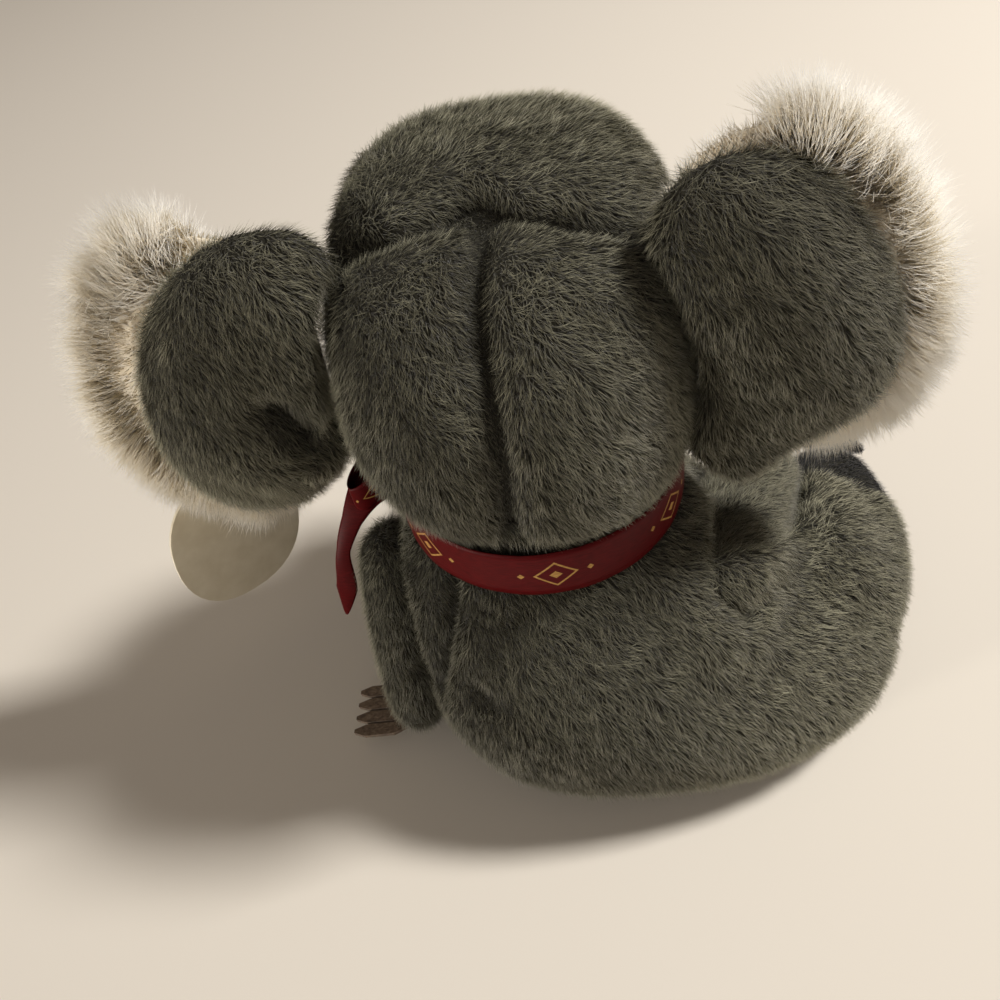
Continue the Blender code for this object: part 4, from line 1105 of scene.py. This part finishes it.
# %% Satin and its printed diamonds
RIBBON_WIDTH = 16.5 * MM
RIBBON_CLOTH = 0.30 * MM
MOTIF_EVERY = 2.35
DIAMOND_NARROWS = 0.8
DIAMOND_REACH = 0.27
DIAMOND_LINE = 0.022
HEART_REACH = 0.085
DOT_AWAY = 0.56
DOT_REACH = 0.06


def satin(name, dark, pale):
    """Satin with gold diamonds, read from the map named cloth_way."""
    made, tree, shader = finish_of(name, pale, 0.45, gloss=0.08)
    shader.inputs["Anisotropic"].default_value = 0.5
    way, height = ways_of_map(tree, "cloth_way")

    def off(value, middle):
        """How far a value is from a middle."""
        return maths(tree, 'ABSOLUTE', maths(tree, 'SUBTRACT', value, middle))

    turn = off(maths(tree, 'FRACT', maths(tree, 'DIVIDE', way, MOTIF_EVERY)), 0.5)
    along = maths(tree, 'MULTIPLY', turn, MOTIF_EVERY)
    across = off(height, 0.5)
    reach = maths(tree, 'ADD', maths(tree, 'MULTIPLY', along, DIAMOND_NARROWS), across)
    ring = maths(tree, 'LESS_THAN', off(reach, DIAMOND_REACH), DIAMOND_LINE)
    heart = maths(tree, 'LESS_THAN', reach, HEART_REACH)
    dots = maths(tree, 'LESS_THAN', maths(tree, 'ADD', off(along, DOT_AWAY), across), DOT_REACH)
    gold = maths(tree, 'MAXIMUM', maths(tree, 'MAXIMUM', ring, heart), dots)
    threads = mottle(tree, 420.0, 2.0, (1.0, 1.0, 9.0))
    cloth = ramp(tree, threads, [(0.3, dark), (0.7, pale)])
    print_colour = ramp(tree, threads, [(0.3, (0.300, 0.160, 0.045)), (0.7, (0.520, 0.310, 0.100))])
    tree.links.new(mixed_colour(tree, gold, cloth, print_colour), shader.inputs["Base Color"])
    bump(tree, shader, threads, 0.05 * MM, 0.35)
    return made


maroon_satin = satin("maroon_satin_cloth", (0.058, 0.0022, 0.0030), (0.100, 0.0038, 0.0050))


def thickened(made):
    """Gives a sheet the thickness of ribbon."""
    wall = made.modifiers.new("cloth", 'SOLIDIFY')
    wall.thickness = RIBBON_CLOTH
    wall.offset = 0.0
    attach(made, "torso")
    return made


# %% Band round the neck
NECK_RADIUS = 41.3 * MM
BAND_ROWS = 8
BAND_STEPS = 144
MOTIF_TURN = math.radians(99.0)
MOTIFS_BEFORE = 50.5
BAND_CROWN = 0.35 * MM
BAND_WAVE = 0.22 * MM
BAND_CRINKLE = 0.12 * MM
BAND_RISE = 0.35 * MM

bm = bmesh.new()
layer = bm.loops.layers.uv.new("cloth_way")
edge_points = [bm.verts.new((NECK_RADIUS, 0.0, RIBBON_LOW + RIBBON_WIDTH * k / BAND_ROWS))
               for k in range(BAND_ROWS + 1)]
profile = [bm.edges.new(pair) for pair in zip(edge_points, edge_points[1:])]
bmesh.ops.spin(bm, geom=edge_points + profile, cent=(0.0, 0.0, 0.0), axis=(0.0, 0.0, 1.0),
               dvec=(0.0, 0.0, 0.0), angle=math.tau, steps=BAND_STEPS, use_merge=True)
for face in bm.faces:
    middle = face.calc_center_median()
    base = math.atan2(middle.y, middle.x)
    for loop in face.loops:
        turn = math.atan2(loop.vert.co.y, loop.vert.co.x)
        turn = base + (turn - base + math.pi) % math.tau - math.pi
        loop[layer].uv = ((turn - MOTIF_TURN) * NECK_RADIUS / RIBBON_WIDTH + MOTIFS_BEFORE * MOTIF_EVERY,
                          (loop.vert.co.z - RIBBON_LOW) / RIBBON_WIDTH)
for vert in bm.verts:
    turn = math.atan2(vert.co.y, vert.co.x)
    up = (vert.co.z - RIBBON_LOW) / RIBBON_WIDTH - 0.5
    swell = BAND_CROWN * (1.0 - 4.0 * up * up) + BAND_WAVE * math.sin(5.0 * turn + 1.0) * (up + 0.3)
    radius = NECK_RADIUS + swell + BAND_CRINKLE * math.sin(17.0 * turn) * abs(up)
    vert.co.x, vert.co.y = radius * math.cos(turn), radius * math.sin(turn)
    vert.co.z += BAND_RISE * math.sin(2.0 * turn + 0.6)
band = thickened(piece_of(bm, "neck_band", maroon_satin))
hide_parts("ribbon_band")
print("band", round(math.tau * NECK_RADIUS / MM, 1), "mm long")

# %% [markdown]
# The knot is the ribbon wound once round itself, so its pad is drawn in by
# folds. It is a round form made squarer, with the folds pressed into it.

# %% Knot
KNOT_PLACE = 46.4 * MM
KNOT_HEIGHT = 96.0 * MM
KNOT_SIZE = (4.4 * MM, 5.7 * MM, 6.6 * MM)
KNOT_SQUARENESS = 0.82
KNOT_FOLD = 0.10
KNOT_MAP = 0.02
BOW_TURN = math.radians(-35.0)
BOW_OUT = Vector((math.cos(BOW_TURN), math.sin(BOW_TURN), 0.0))
BOW_SIDE = Vector((-BOW_OUT.y, BOW_OUT.x, 0.0))
BOW_MIDDLE = BOW_OUT * KNOT_PLACE + UP * KNOT_HEIGHT

bm = bmesh.new()
bmesh.ops.create_uvsphere(bm, u_segments=36, v_segments=22, radius=1.0)
layer = bm.loops.layers.uv.new("cloth_way")
for face in bm.faces:
    for loop in face.loops:
        loop[layer].uv = (KNOT_MAP * loop.vert.co.x, KNOT_MAP * loop.vert.co.z)
for vert in bm.verts:
    fold = 1.0 - KNOT_FOLD * abs(math.sin(3.2 * vert.co.y + 0.4)) * (1.0 - vert.co.z ** 2)
    bulge = Vector([math.copysign(abs(c) ** KNOT_SQUARENESS, c) for c in vert.co]) * fold
    vert.co = BOW_MIDDLE + sum((way * share * size for way, share, size in zip(
        (BOW_OUT, BOW_SIDE, UP), bulge, KNOT_SIZE)), Vector((0.0, 0.0, 0.0)))
knot = piece_of(bm, "bow_knot_fold", maroon_satin)
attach(knot, "torso")
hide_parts("bow_knot")
print("knot at", [round(c / MM, 1) for c in BOW_MIDDLE], "mm")

# %% [markdown]
# The loops stand on edge and are drawn together at the knot. Each starts as a
# flat grid, and a rule says for every place of the ribbon, by its shares
# along and across, where it lies in the bow.

# %% Loops
LOOP_START = 0.11
LOOP_LENGTH = 33.5 * MM
LOOP_SPREAD = 6.2 * MM
LOOP_DROOP = 12.0 * MM
LOOP_AT_KNOT = 7.0 * MM
LOOP_BROADENS = 4.5 * MM
LOOP_CRIMP = 0.5 * MM
LOOP_CLOTH = 64.0 * MM
LOOP_SWEEP = math.radians(10.0)


def ribbon_grid(name, columns, rows, length, laid, printed=1.0):
    """Flat ribbon, laid by a rule. The print misses its wrong side."""
    bm = bmesh.new()
    bmesh.ops.create_grid(bm, x_segments=columns, y_segments=rows, size=0.5)
    layer = bm.loops.layers.uv.new("cloth_way")
    for face in bm.faces:
        for loop in face.loops:
            loop[layer].uv = ((loop.vert.co.x + 0.5) * length / RIBBON_WIDTH * printed,
                              loop.vert.co.y * printed + 0.5 * printed)
    for vert in bm.verts:
        vert.co = laid(vert.co.x + 0.5, vert.co.y)
    return thickened(piece_of(bm, name, maroon_satin))


def loop_rule(hand):
    """Where a share of one bow loop lies."""
    ahead = BOW_SIDE * (hand * math.cos(LOOP_SWEEP)) + BOW_OUT * math.sin(LOOP_SWEEP)
    cross = Vector((-ahead.y, ahead.x, 0.0))

    def laid(along, across):
        u = LOOP_START + (1.0 - 2.0 * LOOP_START) * along
        reach = (1.0 - math.cos(math.tau * u)) / 2.0
        swell = math.sin(math.tau * u) * math.sin(math.pi * u)
        width = LOOP_AT_KNOT + LOOP_BROADENS * math.sin(math.pi * reach / 2.0)
        crimp = (1.0 - reach) * LOOP_CRIMP * math.sin(13.0 * across)
        return (BOW_MIDDLE + ahead * LOOP_LENGTH * reach + cross * (LOOP_SPREAD * swell + crimp)
                + UP * (width * across - LOOP_DROOP * reach ** 1.5))
    return laid


for side, hand in (("left", 1.0), ("right", -1.0)):
    loop = ribbon_grid(f"bow_{side}_loop", 48, 8, LOOP_CLOTH, loop_rule(hand))
    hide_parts("bow_loop_" + side)
    print(loop.name, "faces", len(loop.data.polygons))

# %% [markdown]
# The two ends hang over what is under them, twist narrow halfway down and are
# cut to a point. Each follows a smooth curve through a few stations, with its
# face turned away from a place inside the toy. What shows is the ribbon's
# wrong side, without print.

# %% Ends
TAIL_SHARES = (0.0, 0.2, 0.36, 0.5, 0.62, 0.82, 1.0)
TAIL_WIDTHS = (6.7, 13.0, 13.5, 7.0, 4.6, 7.4, 0.7)
TAIL_CUP = 0.35
WRONG_SIDE = 0.02
LEFT_END = ((0.0410, -0.0270, 0.0880), (0.0495, -0.0160, 0.0868), (0.0590, -0.0060, 0.0834),
            (0.0680, 0.0035, 0.0692), (0.0700, 0.0085, 0.0555), (0.0740, 0.0102, 0.0410))
RIGHT_END = ((0.0385, -0.0300, 0.0868), (0.0370, -0.0430, 0.0815), (0.0335, -0.0560, 0.0730),
             (0.0310, -0.0650, 0.0620), (0.0300, -0.0690, 0.0510))
LEFT_INSIDE = (0.0750, -0.0600, 0.0)
RIGHT_INSIDE = (0.0180, -0.0200, 0.0500)
LEFT_LENGTH = 74.0 * MM
RIGHT_LENGTH = 56.0 * MM


def smooth_path(stations, share):
    """Point on a smooth curve through a few stations."""
    last = len(stations) - 1
    k = min(int(share * last), last - 1)
    t = share * last - k
    p0, p1, p2, p3 = (Vector(stations[min(max(i, 0), last)]) for i in (k - 1, k, k + 1, k + 2))
    return (p1 * 2.0 + (p2 - p0) * t + (p0 * 2.0 - p1 * 5.0 + p2 * 4.0 - p3) * t ** 2
            + (p1 * 3.0 - p0 - p2 * 3.0 + p3) * t ** 3) / 2.0


def tail_rule(stations, inside):
    """Where a share of one loose end lies."""
    def laid(along, across):
        point = smooth_path(stations, along)
        run = smooth_path(stations, min(along + 0.01, 1.0)) - smooth_path(stations, max(along - 0.01, 0.0))
        side = run.normalized().cross(point - Vector(inside)).normalized()
        normal = side.cross(run.normalized())
        width = float(np.interp(along, TAIL_SHARES, TAIL_WIDTHS)) * MM
        return point + side * width * across + normal * TAIL_CUP * (0.25 - across ** 2) * width
    return laid


for side, stations, inside, length in (("left", LEFT_END, LEFT_INSIDE, LEFT_LENGTH),
                                       ("right", RIGHT_END, RIGHT_INSIDE, RIGHT_LENGTH)):
    tail = ribbon_grid(f"ribbon_{side}_end", 44, 8, length, tail_rule(stations, inside), WRONG_SIDE)
    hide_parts("ribbon_tail_" + side)
    print(tail.name, round(length / MM), "mm")

# %% [markdown]
# ## Suede hands, tag and cord
# The hands are flat strips of suede slit into fingers, and the tag is a plain
# oval card on a cotton cord. Their solids already have the right shape, so
# they stay, and only get a finish: brushed brown nap, card with a faint
# mottle, and cord with the slant of its twist.

# %% Finishes for the pieces that stay
brown_suede, tree, shader = finish_of("brown_suede_nap", (0.110, 0.070, 0.042), 0.9, sheen=0.5)
nap = mottle(tree, 700.0, 4.0, (1.0, 1.6, 1.0))
painted(tree, shader, nap, [(0.3, (0.060, 0.036, 0.020)), (0.5, (0.120, 0.078, 0.047)),
                            (0.72, (0.210, 0.150, 0.098))])
bump(tree, shader, nap, 0.25 * MM, 0.6)
tag_card, tree, shader = finish_of("tag_card_stock", (0.850, 0.780, 0.620), 0.6, gloss=0.3)
painted(tree, shader, mottle(tree, 160.0, 5.0), [(0.3, (0.800, 0.730, 0.570)), (0.7, (0.900, 0.835, 0.680))])
bump(tree, shader, mottle(tree, 2200.0, 2.0), 0.04 * MM, 0.3)
tag_cord, tree, shader = finish_of("tag_cord_cotton", (0.560, 0.480, 0.340), 0.85, sheen=0.3)
twist = mottle(tree, 900.0, 1.0, (1.0, 1.0, 2.5))
painted(tree, shader, twist, [(0.35, (0.330, 0.270, 0.180)), (0.65, (0.620, 0.540, 0.390))])
bump(tree, shader, twist, 0.15 * MM, 0.6)
for finish, nodes in ((brown_suede, ("claws_left", "claws_right")), (tag_card, ("swing_tag",)),
                      (tag_cord, ("tag_loop",))):
    for node in nodes:
        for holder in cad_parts[node].material_slots:
            holder.material = finish
        print(node, "wears", finish.name)

# %% [markdown]
# ## Room, light and camera
# A plain pale floor and soft studio light, at a level where a colour renders
# about as it is written. One window stands high on the toy's right, and a
# distant one reaches the ear that the first leaves in the dark.

# %% Floor and light
FLOOR_HALF = 3.0
bm = bmesh.new()
bmesh.ops.create_grid(bm, x_segments=1, y_segments=1, size=FLOOR_HALF)
mesh = bpy.data.meshes.new("floor")
bm.to_mesh(mesh)
bm.free()
mesh.materials.append(finish_of("floor_finish", (0.83, 0.785, 0.715), 0.9)[0])
floor = piece_from(mesh, "floor")

scene = bpy.context.scene
scene.view_settings.view_transform = 'Standard'
world = bpy.data.worlds.new("studio")
scene.world = world
world.use_nodes = True
sky = world.node_tree.nodes["Background"]
sky.inputs["Color"].default_value = (1.0, 0.83, 0.68, 1.0)
sky.inputs["Strength"].default_value = 0.155


def lamp(name, place, aim, size, power, colour, cone=None):
    """A broad lamp, or with a cone in degrees a soft beam from far off."""
    data = bpy.data.lights.new(name, 'SPOT' if cone else 'AREA')
    if cone:
        data.shadow_soft_size = size
        data.spot_size = math.radians(cone)
        data.spot_blend = 1.0
    else:
        data.size = size
    data.energy = power
    data.color = colour
    made = bpy.data.objects.new(name, data)
    scene.collection.objects.link(made)
    made.location = place
    made.rotation_euler = (Vector(aim) - Vector(place)).to_track_quat('-Z', 'Y').to_euler()


lamp("window", place=(-1.50, -0.42, 1.85), aim=(0.0, 0.0, 0.06), size=0.38, power=57.0,
     colour=(1.0, 0.955, 0.89))
lamp("fill", place=(0.2, 0.9, 0.9), aim=(0.0, 0.0, 0.08), size=0.9, power=0.7, colour=(1.0, 0.95, 0.88))
lamp("far_window", place=(3.60, 2.30, 0.50), aim=(0.09, 0.0, 0.12), size=0.30, power=700.0,
     colour=(1.0, 0.93, 0.83), cone=10.0)

# %% [markdown]
# The camera stands behind and above the toy, as in the photograph, and is
# turned a little about its own axis. Its place and its lens were fitted to
# the toy's outlines there.

# %% Camera
CAMERA_PLACE = Vector((-0.0326, 0.1842, 0.2807))
CAMERA_ANGLES = (194.2, 46.0, -13.2)
PHOTO_WIDTH = 1000.0
FOCAL_PIXELS = 888.0
SENSOR = 36.0
around, above, roll = (math.radians(angle) for angle in CAMERA_ANGLES)
back = Vector((math.sin(around) * math.cos(above), -math.cos(around) * math.cos(above), math.sin(above)))
right = (-back).cross(UP).normalized()
top = right.cross(-back)
right, top = right * math.cos(roll) + top * math.sin(roll), top * math.cos(roll) - right * math.sin(roll)
camera = bpy.data.objects.new("camera", bpy.data.cameras.new("camera"))
scene.collection.objects.link(camera)
camera.data.sensor_width = SENSOR
camera.data.lens = FOCAL_PIXELS * SENSOR / PHOTO_WIDTH
camera.data.clip_start = 0.01
camera.matrix_world = Matrix.Translation(CAMERA_PLACE) @ Matrix((right, top, back)).transposed().to_4x4()
scene.camera = camera
print("lens", round(camera.data.lens, 2), "mm")

# %% Sizes and the end
print("triangles of pile", sum(strand_totals.values()))
